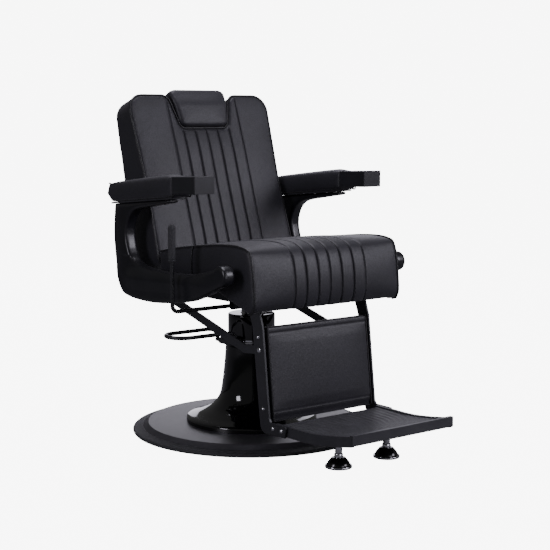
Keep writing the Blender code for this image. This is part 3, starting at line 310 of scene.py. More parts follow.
knots = [(neck + (foot - neck) * out, cover_low.z + flare_rise * up, 0.0) for out, up in flare]
knots.append((foot - 0.007, cover_low.z + 0.0165, 0.0))
outside = [(point.x, point.y) for point in smooth_line(knots, 7)]
outside += rounded(foot - 0.006, cover_low.z + 0.0095, 0.006, 62, 0, 6)
outside += [(foot, cover_low.z)]
inside = [(r - wall, z - 0.001) for r, z in outside[1:-1]] + [(foot - wall, cover_low.z)]
column_cover = lathed(
    "trumpet_cover",
    [(neck - wall, cover_high.z), (neck - 0.001, cover_high.z)] + outside[1:] + inside[::-1],
    gloss_enamel,
    hollow=True,
    smooth=40,
)
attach(column_cover, "base")
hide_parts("column_cover")


# ---------------------------------------------------------------- pump collar, cover and ram
# The collar and the ram are chromed steel. The cover is a drawn steel cup in the same gloss enamel
# as the column, pierced on top for the ram.
def bright_metal(name, colour, roughness, streaks_mm, stretch):
    """Polished or turned metal: fine lines that run round or along it, and a little handling haze."""
    metal = new_finish(name, Base_Color=srgb(colour), Metallic=1.0)
    where = coordinates(metal)
    scaled = add(metal, "ShaderNodeMapping", {"Vector": where, "Scale": stretch})
    drawn = {"Vector": scaled.outputs["Vector"], "Scale": 1000 / streaks_mm, "Detail": 2.0}
    lines = add(metal, "ShaderNodeTexNoise", drawn)
    spread = {"To Min": roughness * 0.7, "To Max": roughness * 1.6}
    rough = add(metal, "ShaderNodeMapRange", {"Value": lines.outputs["Fac"], **spread})
    depth = {"Strength": 0.08, "Distance": 0.0001}
    bump = add(metal, "ShaderNodeBump", {"Height": lines.outputs["Fac"], **depth})
    feed(metal, "Roughness", rough.outputs["Result"])
    feed(metal, "Normal", bump.outputs["Normal"])
    return metal


chrome_plate = bright_metal("polished_chrome_plate", "#DEDEE2", 0.07, 3.0, (1, 1, 1))
turned_steel = bright_metal("turned_bright_steel", "#A9A9AC", 0.28, 1.2, (0.1, 0.1, 6))

collar_low, collar_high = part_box("pump_collar")
pump_low, pump_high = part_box("pump_cover")
ram_low, ram_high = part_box("lift_ram")
cover_wall = 0.003
collar_bore = 0.0452
spigot = pump_high.x - cover_wall - 0.0004
ram_hole = ram_high.x + 0.0022
collar = lathed(
    "chromed_collar",
    [(collar_bore, collar_high.z), (spigot, collar_high.z), (spigot, collar_low.z + 0.0045)]
    + rounded(collar_high.x - 0.001, collar_low.z + 0.0032, 0.001, 90, 0, 3)
    + rounded(collar_high.x - 0.001, collar_low.z + 0.001, 0.001, 0, -90, 3)
    + [(collar_bore, collar_low.z)],
    chrome_plate,
    hollow=True,
)
pump_cover = lathed(
    "drawn_pump_cover",
    [(ram_hole, pump_high.z - 0.0008), (ram_hole + 0.0008, pump_high.z)]
    + rounded(pump_high.x - 0.005, pump_high.z - 0.005, 0.005, 90, 0, 8)
    + rounded(pump_high.x - 0.001, pump_low.z + 0.001, 0.001, 0, -90, 3)
    + [(pump_high.x - cover_wall, pump_low.z), (pump_high.x - cover_wall, pump_high.z - cover_wall)]
    + [(ram_hole, pump_high.z - cover_wall)],
    gloss_enamel,
    hollow=True,
)
ram = lathed(
    "chromed_ram",
    [(0.0002, ram_high.z)]
    + rounded(ram_high.x - 0.002, ram_high.z - 0.002, 0.002, 90, 0, 4)
    + [(ram_high.x, ram_low.z), (0.0002, ram_low.z)],
    chrome_plate,
    segments=96,
)
for piece, body, node, slot in (
    (collar, "pump", "pump_collar", "chrome"),
    (pump_cover, "pump", "pump_cover", "gloss_black_enamel"),
    (ram, "seat", "lift_ram", "chrome"),
):
    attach(piece, body)
    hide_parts(node)


def refinish(material, *names):
    """Gives CAD nodes that keep their shape the finish of their real metal."""
    for name in names:
        NODES[name].data.materials.clear()
        NODES[name].data.materials.append(material)


refinish(turned_steel, "hydraulic_cylinder", "base_socket", "swivel_bearing")


# ---------------------------------------------------------------- pump lever
# The foot lever is one length of 12 mm round bar bent into a loop, with its ends welded to a cross
# shaft that turns in the bracket's boss. It is powder coated, and worn a little by shoes.
def bent_bar(name, points, radius, material, closed=False, sides=16):
    """A round bar along the points: a curve with a round section, made a mesh, with filled ends."""
    curve = bpy.data.curves.new(name, "CURVE")
    curve.dimensions = "3D"
    curve.bevel_depth = radius
    curve.bevel_resolution = max(2, sides // 4 - 1)
    curve.use_fill_caps = not closed
    line = curve.splines.new("POLY")
    line.points.add(len(points) - 1)
    for knot, at in zip(line.points, points):
        knot.co = (*at, 1.0)
    line.use_cyclic_u = closed
    piece = bpy.data.objects.new(name, curve)
    bpy.context.scene.collection.objects.link(piece)
    begin(piece)
    bpy.ops.object.convert(target="MESH")
    piece = bpy.context.object
    bpy.ops.object.mode_set(mode="EDIT")
    bpy.ops.mesh.select_all(action="SELECT")
    bpy.ops.mesh.remove_doubles(threshold=0.00001)
    bpy.ops.mesh.normals_make_consistent(inside=False)
    return finished(piece, name, material, 50)


def joined(pieces, name, material, smooth=35):
    """One object made of several, which keep their own shells."""
    begin(pieces[0])
    for piece in pieces:
        piece.select_set(True)
    bpy.ops.object.join()
    return finished(bpy.context.object, name, material, smooth)


lever_low, lever_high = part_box("pump_lever")
foot_bar = 0.006
loop_half = lever_high.y - 0.008
shaft_x = lever_high.x - foot_bar
shaft_z = lever_low.z + foot_bar - 0.001
loop_z = lever_high.z - foot_bar
loop_end = lever_low.x + foot_bar + loop_half
limb = [(0.0, 0.0), (-0.005, 0.018), (-0.016, 0.030), (-0.036, loop_z - shaft_z)]
near_limb = [(shaft_x + dx, -loop_half, shaft_z + dz) for dx, dz in limb]
far_limb = [(x, loop_half, z) for x, _, z in reversed(near_limb)]
bow = [(x, y, loop_z) for x, y in rounded(loop_end, 0.0, loop_half, 270, 90, 24)]
worn_bar_coat = powder_coat("worn_black_coat_on_bent_bar", "#1A1A1C", "#2A2A2D", 0.38, 1.4)
lever_loop = bent_bar(
    "foot_lever_loop", smooth_line(near_limb, 5) + bow + smooth_line(far_limb, 5), foot_bar, worn_bar_coat
)
cross_shaft = bent_bar(
    "foot_lever_shaft",
    [(shaft_x, y, shaft_z) for y in (lever_low.y + 0.0005, 0.0, lever_high.y - 0.0005)],
    0.005,
    worn_bar_coat,
)
foot_lever = joined([lever_loop, cross_shaft], "foot_lever", worn_bar_coat, 50)
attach(foot_lever, "pump_lever")
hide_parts("pump_lever")


# ---------------------------------------------------------------- flat steel, plates and brackets
# Side bars, links, hinge plates and the bracket of the pump are sheared or laser-cut steel with
# their burrs rolled off, so each keeps its outline and gets a small rounded edge. The hub is turned.
def merged_copy(node):
    """A copy of the CAD node of its own, with its loose triangles merged."""
    piece = NODES[node].copy()
    piece.data = NODES[node].data.copy()
    for key in [key for key in piece.keys() if key.startswith("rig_")]:
        del piece[key]
    piece.parent = None
    bpy.context.scene.collection.objects.link(piece)
    begin(piece)
    bpy.ops.object.mode_set(mode="EDIT")
    bpy.ops.mesh.select_all(action="SELECT")
    bpy.ops.mesh.remove_doubles(threshold=0.00001)
    bpy.ops.object.mode_set(mode="OBJECT")
    return piece


def edged(node, name, width, material, segments=2):
    """A copy of the CAD node's plate, merged into whole faces, with its edges rounded."""
    piece = merged_copy(node)
    bpy.ops.object.mode_set(mode="EDIT")
    bpy.ops.mesh.select_all(action="SELECT")
    bpy.ops.mesh.dissolve_limited(angle_limit=math.radians(1.0))
    bpy.ops.object.mode_set(mode="OBJECT")
    edge = piece.modifiers.new("rolled_edge", "BEVEL")
    edge.width = width
    edge.segments = segments
    edge.limit_method = "ANGLE"
    edge.angle_limit = math.radians(30)
    bpy.ops.object.modifier_apply(modifier=edge.name)
    finished(piece, name, material, 40)
    flat = piece.modifiers.new("flat_faces", "WEIGHTED_NORMAL")
    flat.keep_sharp = True
    bpy.ops.object.modifier_apply(modifier=flat.name)
    return piece


plate_coat = powder_coat("matt_powder_coat_on_flat_steel", "#2A2A2E", "#323236", 0.44, 1.2)
SIDES = (("right", -1), ("left", 1))
for side, _ in SIDES:
    for node, body, width in (
        ("footrest_bar_", "footrest", 0.0012),
        ("link_bar_", "links", 0.0012),
        ("back_bracket_", "seat", 0.0008),
        ("footrest_bracket_", "seat", 0.0008),
        ("back_arm_", "backrest", 0.0008),
        ("arm_bracket_", "seat", 0.0015),
    ):
        plate = edged(node + side, node + "edged_" + side, width, plate_coat)
        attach(plate, body)
        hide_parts(node + side)
pump_bracket = edged("pump_bracket", "pump_bracket_edged", 0.0006, plate_coat)
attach(pump_bracket, "pump")
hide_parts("pump_bracket")
mechanism = edged("mechanism_box", "mechanism_housing", 0.0008, plate_coat)
bearing_ears = edged("lever_bearing", "lever_bearing_edged", 0.0012, plate_coat, 3)
for piece, node in ((mechanism, "mechanism_box"), (bearing_ears, "lever_bearing")):
    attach(piece, "seat")
    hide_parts(node)
refinish(plate_coat, "seat_board", "back_frame")
refinish(turned_steel, "back_shaft", "footrest_shaft", "headrest_bar")
refinish(turned_steel, "link_pin_rear_right", "link_pin_rear_left")

hub_low, hub_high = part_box("seat_hub")
hub_neck = 0.046
hub_bore = ram_high.x + 0.0006
hub_bore_top = ram_high.z + 0.0003
seat_hub = lathed(
    "seat_hub_casting",
    [(0.0002, hub_high.z)]
    + rounded(hub_high.x - 0.001, hub_high.z - 0.001, 0.001, 90, 0, 3)
    + rounded(hub_high.x - 0.001, hub_high.z - 0.006, 0.001, 0, -80, 3)
    + rounded(hub_neck + 0.008, hub_high.z - 0.015, 0.006, 90, 170, 5)
    + rounded(hub_neck - 0.002, hub_low.z + 0.002, 0.002, 0, -90, 3)
    + [(hub_bore, hub_low.z), (hub_bore, hub_bore_top), (0.0002, hub_bore_top)],
    cast_iron_coat,
    segments=96,
)
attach(seat_hub, "seat")
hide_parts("seat_hub")


# ---------------------------------------------------------------- rivets, bolts and link pivots
# Domed steel heads, zinc plated or chromed, that clench the side bars to the panel, the footplate
# and the links. Each has a low dome with a turned shoulder.
def head_profile(radius, height):
    """The (r, z) profile of a low dome with its face at height 0."""
    dome = [(radius * math.sin(t), height * math.cos(t)) for t in (i * math.pi / 16 for i in range(1, 8))]
    return [(0.0002, height)] + dome + [(radius, 0.0004), (radius, 0.0)]


head_rise = 0.0035
shank_radius = 0.0029
shank_depth = 0.006
shank = [(shank_radius, -0.0001), (shank_radius, -shank_depth), (0.0002, -shank_depth)]
for level in ("panel_rivet_upper", "panel_rivet_lower", "plate_bolt_rear", "plate_bolt_front", "link_pivot"):
    for side, sign in SIDES:
        node = f"{level}_{side}"
        low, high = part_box(node)
        radius = (high.z - low.z) / 2
        face = high.x - head_rise if sign > 0 else low.x + head_rise
        middle = (low + high) / 2
        head = lathed(node + "_head", head_profile(radius, head_rise) + shank, chrome_plate, segments=32)
        head.data.transform(Matrix.Rotation(sign * math.pi / 2, 4, "Y"))
        head.data.transform(Matrix.Translation((face, middle.y, middle.z)))
        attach(head, "footrest")
        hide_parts(node)


# ---------------------------------------------------------------- leather cushions: the cover
# Every cushion wears the same corrected-grain upholstery leather, black with a cool cast: fine
# pebble grain with painted shade between its pebbles and painted light at their middles, slow changes
# of tone where it was stretched, and a soft satin gloss.
def upholstery_leather(name, dark, light, roughness):
    leather = new_finish(name, Specular_IOR_Level=0.5, IOR=1.48, Sheen_Weight=0.08, Sheen_Roughness=0.5)
    where = coordinates(leather)
    grain_mm = 2.4  # real grain is nearer 1 mm; drawn coarser so that it shows
    pebbled = {"Vector": where, "Scale": 1000 / grain_mm, "Smoothness": 0.6, "Randomness": 1.0}
    pebbles = add(leather, "ShaderNodeTexVoronoi", pebbled, feature="SMOOTH_F1")
    creases = add(leather, "ShaderNodeTexNoise", {"Vector": where, "Scale": 900.0, "Detail": 3.0})
    tone = add(leather, "ShaderNodeTexNoise", {"Vector": where, "Scale": 9.0, "Detail": 5.0})
    both = {"Factor": 0.35, "A": pebbles.outputs["Distance"], "B": creases.outputs["Fac"]}
    height = add(leather, "ShaderNodeMix", both, data_type="FLOAT")
    shade = add(leather, "ShaderNodeValToRGB", {"Fac": tone.outputs["Fac"]})
    for stop, place, colour in zip(shade.color_ramp.elements, (0.32, 0.70), (dark, light)):
        stop.position = place
        stop.color = srgb(colour)
    # Painted shade and light in the grain: the colour is multiplied down towards the edges of each pebble
    # cell and up at its middle, after the same pattern as the bump.
    grain_shade_range = {"From Max": 0.7, "To Min": 1.30, "To Max": 0.62}
    grain_shade = add(leather, "ShaderNodeMapRange", {"Value": pebbles.outputs["Distance"], **grain_shade_range})
    layers = {"Factor": 1.0, "A": shade.outputs["Color"], "B": grain_shade.outputs["Result"]}
    tone_and_grain_shade = add(leather, "ShaderNodeMix", layers, data_type="RGBA", blend_type="MULTIPLY")
    spread = {"To Min": roughness - 0.05, "To Max": roughness + 0.14}
    gloss = add(leather, "ShaderNodeMapRange", {"Value": height.outputs["Result"], **spread})
    depth = {"Strength": 0.75, "Distance": 0.0005}
    bump = add(leather, "ShaderNodeBump", {"Height": height.outputs["Result"], **depth})
    feed(leather, "Base Color", tone_and_grain_shade.outputs["Result"])
    feed(leather, "Roughness", gloss.outputs["Result"])
    feed(leather, "Normal", bump.outputs["Normal"])
    return leather


black_leather = upholstery_leather("black_upholstery_leather", "#232228", "#2B2A31", 0.44)
piping_leather = upholstery_leather("black_piping_leather", "#141317", "#1B1A1E", 0.34)


def rim_of(node, holds):
    """The closed line of the CAD solid's corners for which holds(corner) is true, in order."""
    mesh = bmesh.new()
    mesh.from_mesh(NODES[node].data)
    bmesh.ops.remove_doubles(mesh, verts=mesh.verts, dist=0.00002)
    rim = {corner for corner in mesh.verts if holds(corner.co)}
    here = min(rim, key=lambda corner: (round(corner.co.z, 4), corner.co.x))
    line, left = [here.co.copy()], rim - {here}
    while left:
        creases = [e for e in here.link_edges if len(e.link_faces) == 2 and e.calc_face_angle() > 0.05]
        beside = [e.other_vert(here) for e in creases if e.other_vert(here) in left]
        if not beside:
            break
        here = min(beside, key=lambda corner: (corner.co - here.co).length)
        left.remove(here)
        line.append(here.co.copy())
    mesh.free()
    return line


def spaced(line, pitch, closed=True):
    """Points every pitch metres along a line of corners."""
    ends = line + [line[0]] if closed else line
    points = []
    for a, b in zip(ends, ends[1:]):
        count = max(1, round((b - a).length / pitch))
        points += [a.lerp(b, i / count) for i in range(count)]
    return points if closed else points + [ends[-1]]


def even_quads(node, voxel):
    """A copy of the CAD solid, merged and remeshed in even quads."""
    piece = merged_copy(node)
    weave = piece.modifiers.new("even_quads", "REMESH")
    weave.mode = "VOXEL"
    weave.voxel_size = voxel
    bpy.ops.object.modifier_apply(modifier=weave.name)
    return piece


INFLATING = 20  # frames of the cloth simulation


def stuffed(node, voxel, swell, seam_points, hold=0.006):
    """The CAD solid's form in clean quads, blown up by its stuffing between the seams that hold it."""
    piece = even_quads(node, voxel)
    seams = KDTree(len(seam_points))
    for index, point in enumerate(seam_points):
        seams.insert(point, index)
    seams.balance()
    held = piece.vertex_groups.new(name="held_by_seams")
    for corner in piece.data.vertices:
        distance = seams.find(corner.co)[2]
        if distance < hold * 2:
            weight = 1.0 if distance < hold else 2 - distance / hold
            held.add([corner.index], weight, "REPLACE")
    cover = piece.modifiers.new("cover", "CLOTH")
    cover.settings.use_pressure = True
    cover.settings.uniform_pressure_force = 4.0
    cover.settings.mass = 0.3
    cover.settings.tension_stiffness = 20
    cover.settings.compression_stiffness = 20
    cover.settings.bending_stiffness = 2.0
    cover.settings.vertex_group_mass = "held_by_seams"
    cover.settings.effector_weights.gravity = 0.0
    cover.point_cache.frame_start = 1
    cover.point_cache.frame_end = INFLATING
    for moment in range(1, INFLATING + 1):
        bpy.context.scene.frame_set(moment)
    graph = bpy.context.evaluated_depsgraph_get()
    blown = [corner.co.copy() for corner in piece.evaluated_get(graph).data.vertices]
    piece.modifiers.remove(cover)
    bpy.context.scene.frame_set(1)
    for corner, after in zip(piece.data.vertices, blown):
        move = after - corner.co
        reach = swell * math.tanh(move.length / swell) if move.length > 0 else 0.0
        corner.co += move.normalized() * reach
    return piece


def relaxed(piece, times, factor=0.5):
    """Evens out the voxel steps that the stuffing left."""
    begin(piece)
    ease = piece.modifiers.new("ease", "SMOOTH")
    ease.factor = factor
    ease.iterations = times
    bpy.ops.object.modifier_apply(modifier=ease.name)


def split_along(piece, places, normal):
    """Cuts an edge line into the cover's mesh at each place along the normal."""
    mesh = bmesh.new()
    mesh.from_mesh(piece.data)
    for place in places:
        everything = mesh.verts[:] + mesh.edges[:] + mesh.faces[:]
        bmesh.ops.bisect_plane(
            mesh, geom=everything, plane_co=Vector(normal) * place, plane_no=normal, dist=0.0004
        )
    mesh.to_mesh(piece.data)
    mesh.free()


def finer(piece):
    """One level of subdivision, applied."""
    begin(piece)
    halves = piece.modifiers.new("finer", "SUBSURF")
    halves.levels = 1
    halves.render_levels = 1
    bpy.ops.object.modifier_apply(modifier=halves.name)


GROOVE_DEPTH = 0.0026
GROOVE_HALF_WIDTH = 0.0024
PILLOW = 0.0016  # rise of the leather between two grooves


def sewn_down(piece, seams, faces_sitter):
    """Draws the cover down in a groove at each seam, and lets it rise a little between them."""
    normals = [corner.normal.copy() for corner in piece.data.vertices]
    for corner, normal in zip(piece.data.vertices, normals):
        share = faces_sitter(corner.co, normal)
        if share <= 0:
            continue
        lower = 0.0
        for place, reaches in seams:
            if reaches(corner.co):
                across = (corner.co.x - place) / GROOVE_HALF_WIDTH
                lower = max(lower, math.exp(-abs(across) ** 1.5))
        raised = PILLOW if seams[0][0] < corner.co.x < seams[-1][0] else 0.0
        corner.co += normal * share * (raised * (1 - lower) - GROOVE_DEPTH * lower)


SEAMS = (-0.120, -0.080, -0.038, 0.002, 0.044, 0.087, 0.130)
BESIDE_SEAM = 0.004
SEAM_CUTS = [place + offset for place in SEAMS for offset in (-BESIDE_SEAM, 0.0, BESIDE_SEAM)]
PIPE = 0.0030  # radius of the piping


def whole_length(place):
    """True all along: the seam runs from edge to edge of the panel."""
    return True


def piping(name, points, body, radius=PIPE, closed=False):
    """A cord in a strip of leather, sewn into a seam of the cover along the points."""
    pipe = bent_bar(name, points, radius, piping_leather, closed)
    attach(pipe, body)


# ---------------------------------------------------------------- seat cushion
# Moulded foam on a board, in a sewn cover: a wide panel that runs from the back over the front edge
# with seven sewn grooves down its middle, boxed sides, and piping along both side seams.
seat_low, seat_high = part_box("seat_cushion")
seat_edge = seat_high.x - 0.006
seat_rims = {}
for side, sign in SIDES:
    rim = rim_of("seat_cushion", lambda corner: abs(corner.x - sign * seat_edge) < 0.0004)
    seat_rims[side] = rim
seat_seam_points = [p for rim in seat_rims.values() for p in spaced(rim, 0.004)]
seat_cover = stuffed("seat_cushion", 0.0062, 0.009, seat_seam_points)
relaxed(seat_cover, 3)
split_along(seat_cover, SEAM_CUTS, (1, 0, 0))
finer(seat_cover)


front_curve_y = -0.330


def seat_panel(place, normal):
    """1 on the top and front of the seat, 0 on its sides, back and underside."""
    if place.y > seat_high.y - 0.008 or abs(place.x) > seat_edge - 0.010:
        return 0.0
    forward = max(normal.z, -normal.y) if place.z > seat_low.z + 0.012 else -normal.y
    if place.y > front_curve_y and normal.z < 0.3:
        return 0.0
    return min(1.0, max(0.0, (forward - 0.2) * 3))


sewn_down(seat_cover, [(place, whole_length) for place in SEAMS], seat_panel)
finished(seat_cover, "seat_cushion_cover", black_leather, 80)
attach(seat_cover, "seat")
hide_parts("seat_cushion")


# The piping starts at the rear of the seat's top, runs over the front edge and ends below it. It
# stands out of the side a little and is drawn in towards the middle of the side panel.
side_middle = Vector((0, -0.13, 0.49))
for side, sign in SIDES:
    rim = seat_rims[side]
    start = max(range(len(rim)), key=lambda i: rim[i].y + rim[i].z)
    line = rim[start:] + rim[:start]
    if line[1].z < line[-1].z and line[1].y > line[-1].y:
        line = [line[0]] + line[:0:-1]
    bottom = min(range(len(line)), key=lambda i: line[i].z + (0.1 if line[i].y > -0.30 else 0))
    cord = []
    for place in line[: bottom + 1]:
        away = (place - side_middle) * Vector((0, 1, 1))
        cord.append(place + Vector((sign * 0.0018, 0, 0)) - away.normalized() * 0.0010)
    piping("seat_piping_" + side, smooth_line(cord, 3), "seat")

# A stitched vertical join closes each side panel of the cover, where its two lengths of hide meet.
# It bows out with the stuffed side: each pair is a height, and how far the side swells there.
join_y = -0.077
bowed = ((0.464, 0.0), (0.480, 0.0022), (0.505, 0.0048), (0.530, 0.0044), (0.551, 0.0016), (0.562, -0.0004))
for side, sign in SIDES:
    join = [Vector((sign * (seat_high.x + 0.0006 + out), join_y, z)) for z, out in bowed]
    piping("seat_side_join_" + side, smooth_line(join, 4), "seat", 0.0016)


# ---------------------------------------------------------------- arm castings
# Each arm is a hollow aluminium casting in the shape of a C: a bar bolted along the seat's side, an
# upright behind it and a top bar under the pad. Its edges are ground round, and it is powder coated
# satin black. A low ridge runs along the outer face of the lower bar.
arm_coat = powder_coat("satin_powder_coat_on_cast_aluminium", "#17171B", "#1D1D21", 0.30, 1.4)


def eased(value, low, high):
    """0 under low, 1 over high, and a smooth rise between them."""
    t = min(1.0, max(0.0, (value - low) / (high - low)))
    return t * t * (3 - 2 * t)


RIDGE = 0.0022
SHOULDER = 0.0030  # how far the face falls away above the ridge
HEEL = 0.0090  # how far the rear corner of the face is ground in
ridge_rear = (0.189, 0.452)
ridge_slope = 0.0414
top_of_lower_bar = 0.52
for side, sign in SIDES:
    node = "arm_frame_" + side
    arm_low, arm_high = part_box(node)
    casting = even_quads(node, 0.0026)
    relaxed(casting, 14)
    for corner in casting.data.vertices:
        place = corner.co
        outwards = sign * (place.x - (arm_low.x + arm_high.x) / 2) / ((arm_high.x - arm_low.x) / 2)
        if outwards < 0.2:
            continue
        ridge_z = ridge_rear[1] + (ridge_rear[0] - place.y) * ridge_slope
        along = eased(place.y, -0.262, -0.190) * (1 - eased(place.y, 0.150, 0.200))
        above = (place.z - ridge_z) / 0.030
        if place.z < top_of_lower_bar:
            crown = max(0.0, 1 + above) if above < 0 else max(0.0, 1 - above * 0.8)
            fall = RIDGE * crown - SHOULDER * eased(above, 0.1, 1.3)
            place.x += sign * fall * along * eased(outwards, 0.2, 0.8)
        heel = eased(place.y, 0.196, 0.250) * eased(place.z, 0.43, 0.50)
        place.x -= sign * HEEL * heel * eased(outwards, 0.2, 1.0)
    relaxed(casting, 2)
    finished(casting, "arm_casting_" + side, arm_coat, 180)
    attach(casting, "seat")
    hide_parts(node)


# ---------------------------------------------------------------- arm pads, their plates and end caps
# A pad is a foam block on a plywood slip in the same leather, screwed down through a steel plate on
# the casting. A moulded plastic cap closes its front.
moulded_plastic = powder_coat("matt_moulded_black_plastic", "#1C1C20", "#242428", 0.40, 0.9)
zinc_plate = bright_metal("zinc_plated_screw", "#C9C9C6", 0.22, 2.0, (1, 1, 1))
PAD_CROWN = 0.0075
screw_x = 0.276
for side, sign in SIDES:
    pad_low, pad_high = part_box("arm_pad_" + side)
    pad_edges = (pad_low.x + 0.006, pad_high.x - 0.006)
    pad_rims = [rim_of("arm_pad_" + side, lambda corner: abs(corner.x - x) < 0.0004) for x in pad_edges]
    pad_seams = [p for rim in pad_rims for p in spaced(rim, 0.003)]
    pad = stuffed("arm_pad_" + side, 0.0042, 0.0055, pad_seams, hold=0.004)
    relaxed(pad, 4)
    half = (pad_high.x - pad_low.x) / 2
    pad_x = (pad_low.x + pad_high.x) / 2
    for corner in pad.data.vertices:
        x, y, z = corner.co
        over = eased(z, pad_low.z + 0.030, pad_high.z - 0.004)
        crown = 1 - min(1.0, abs(x - pad_x) / half) ** 2.2
        ends = eased(y, pad_low.y, pad_low.y + 0.040) * (1 - eased(y, pad_high.y - 0.05, pad_high.y))
        corner.co.z += PAD_CROWN * crown * over * ends
    finer(pad)
    finished(pad, "arm_pad_cover_" + side, black_leather, 80)
    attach(pad, "seat")
    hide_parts("arm_pad_" + side)
    for edge, (x, rim) in enumerate(zip(pad_edges, pad_rims)):
        top_line = [place for place in rim if place.z > pad_low.z + 0.026]
        top_line.sort(key=lambda place: place.y)
        away = 1 if x > pad_x else -1
        cord = [place + Vector((away * 0.0030, 0, 0.0002)) for place in spaced(top_line, 0.02, False)]
        piping(f"arm_pad_piping_{edge}_{side}", smooth_line(cord, 3), "seat", 0.0022)
    cap = edged("arm_cap_" + side, "arm_end_cap_" + side, 0.0009, moulded_plastic)
    plate = edged("arm_support_" + side, "arm_plate_" + side, 0.0008, plate_coat)
    plate_low, plate_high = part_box("arm_support_" + side)
    to_rear_of_pad = Vector((0, 0.020, -0.0018))
    for corner in plate.data.vertices:
        if corner.co.y > plate_high.y - 0.002:
            corner.co += to_rear_of_pad
    for piece, node, slot in (
        (cap, "arm_cap_", "black_plastic"),
        (plate, "arm_support_", "matte_black_paint"),
    ):
        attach(piece, "seat")
        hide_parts(node + side)
    slope = (plate_high.z - plate_low.z - 0.005) / (plate_high.y - plate_low.y)
    for count, y in enumerate((-0.055, 0.045)):
        head = lathed(
            f"arm_plate_screw_{count}_{side}",
            [(r, -z) for r, z in head_profile(0.0045, 0.0022)],
            zinc_plate,
            segments=24,
        )
        z = plate_low.z + (plate_high.y - y) * slope
        head.data.transform(Matrix.Translation((sign * screw_x, y, z - 0.0001)))
        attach(head, "seat")


# ---------------------------------------------------------------- recline lever
# A 12 mm steel rod turns in the bearing under the seat, bends up beside the arm and ends in a
# plain moulded rubber sleeve with a rounded tip.
rod_low, rod_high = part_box("recline_rod")
grip_low, grip_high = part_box("recline_grip")
rod_radius = 0.006
lever_x = (grip_low.x + grip_high.x) / 2
lever_y = (grip_low.y + grip_high.y) / 2
lever_axis_z = rod_low.z + rod_radius
bend = 0.018
rod_line = [(rod_high.x, lever_y, lever_axis_z), (lever_x + 0.090, lever_y, lever_axis_z)]
rod_line += [(x, lever_y, z) for x, z in rounded(lever_x + bend, lever_axis_z + bend, bend, 270, 180, 10)]
rod_line += [(lever_x, lever_y, rod_high.z - 0.0005)]
recline_rod = bent_bar("recline_lever_rod", rod_line, rod_radius, worn_bar_coat)
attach(recline_rod, "recline_lever")
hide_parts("recline_rod")
grip_radius = (grip_high.x - grip_low.x) / 2
grip_bore = rod_radius + 0.0003
grip_bore_top = rod_high.z + 0.0002
grip_sleeve = lathed(
    "recline_grip_sleeve",
    [(0.0002, grip_high.z)]
    + rounded(0.0, grip_high.z - grip_radius, grip_radius, 86, 0, 10)
    + [(grip_radius, grip_low.z + 0.006), (grip_radius - 0.0008, grip_low.z + 0.0052)]
    + [(grip_radius - 0.0008, grip_low.z + 0.0036), (grip_radius + 0.0006, grip_low.z + 0.0028)]
    + rounded(grip_radius - 0.0004, grip_low.z + 0.001, 0.001, 0, -90, 3)
    + [(grip_bore, grip_low.z), (grip_bore, grip_bore_top), (0.0002, grip_bore_top)],
    bloomed_rubber,
    segments=64,
)
grip_sleeve.data.transform(Matrix.Translation((lever_x, lever_y, 0)))
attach(grip_sleeve, "recline_lever")
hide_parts("recline_grip")


# ---------------------------------------------------------------- footplate
# A cast aluminium tray, black powder coated: ribs across its tread for grip, a rail down each side
# and a lip along the front edge. Its edges are rounded where the mould parted.
tread_coat = powder_coat("textured_powder_coat_on_cast_tread", "#2E2E32", "#3A3A3E", 0.46, 1.6)
tread = edged("footplate", "footplate_casting", 0.0012, tread_coat)
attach(tread, "footrest")
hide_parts("footplate")


# ---------------------------------------------------------------- levelling feet
# Each foot is a chromed stem with a round nut, on a domed pad whose edge is held in a chromed
# rim. The pad is drawn glossy black: a painted reflection of the footplate's dark underside mirrored
# in it.
pad_painted_reflection = powder_coat("pad_black_as_painted_reflection", "#0B0B0C", "#111113", 0.16, 2.0)
stem_radius = 0.0100
nut_radius = 0.0120
for side, _ in SIDES:
    foot_low, foot_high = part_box("levelling_foot_" + side)
    at = ((foot_low.x + foot_high.x) / 2, (foot_low.y + foot_high.y) / 2)
    rim = (foot_high.x - foot_low.x) / 2
    base_z = foot_low.z
    stem = lathed(
        "levelling_stem_" + side,
        [(0.0002, foot_high.z), (stem_radius - 0.0008, foot_high.z), (stem_radius, foot_high.z - 0.001)]
        + [(stem_radius, base_z + 0.040), (0.0093, base_z + 0.0392), (0.0093, base_z + 0.0380)]
        + [(nut_radius - 0.0004, base_z + 0.0372), (nut_radius, base_z + 0.0362)]
        + [(nut_radius, base_z + 0.0292), (stem_radius, base_z + 0.0280)]
        + [(stem_radius, base_z + 0.0240), (0.0002, base_z + 0.0240)],
        chrome_plate,
        around=at,
        segments=48,
    )
    # The pad's glossy black is a painted reflection of the footplate's dark underside.
    cone = lathed(
        "levelling_pad_" + side,
        [(0.0002, base_z + 0.0275), (0.0110, base_z + 0.0275)]
        + rounded(0.0165, base_z + 0.0235, 0.0040, 90, 40, 5)
        + [(0.0235, base_z + 0.0215), (0.0285, base_z + 0.0155), (rim - 0.0035, base_z + 0.0066)]
        + [(rim - 0.0035, base_z + 0.0010), (0.0002, base_z + 0.0010)],
        pad_painted_reflection,
        around=at,
        segments=64,
    )
    band = lathed(
        "levelling_rim_" + side,
        [(rim - 0.0038, base_z + 0.0074), (rim - 0.0028, base_z + 0.0078)]
        + rounded(rim - 0.0020, base_z + 0.0050, 0.0020, 70, 0, 4)
        + [(rim, base_z + 0.0018)]
        + rounded(rim - 0.0012, base_z + 0.0012, 0.0012, 0, -90, 3)
        + [(0.0002, base_z), (0.0002, base_z + 0.0008), (rim - 0.0038, base_z + 0.0008)],
        chrome_plate,
        around=at,
        segments=96,
        hollow=True,
    )
    for piece, slot in ((stem, "chrome"), (cone, "black_rubber"), (band, "chrome")):
        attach(piece, "foot_" + side)
    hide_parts("levelling_foot_" + side)


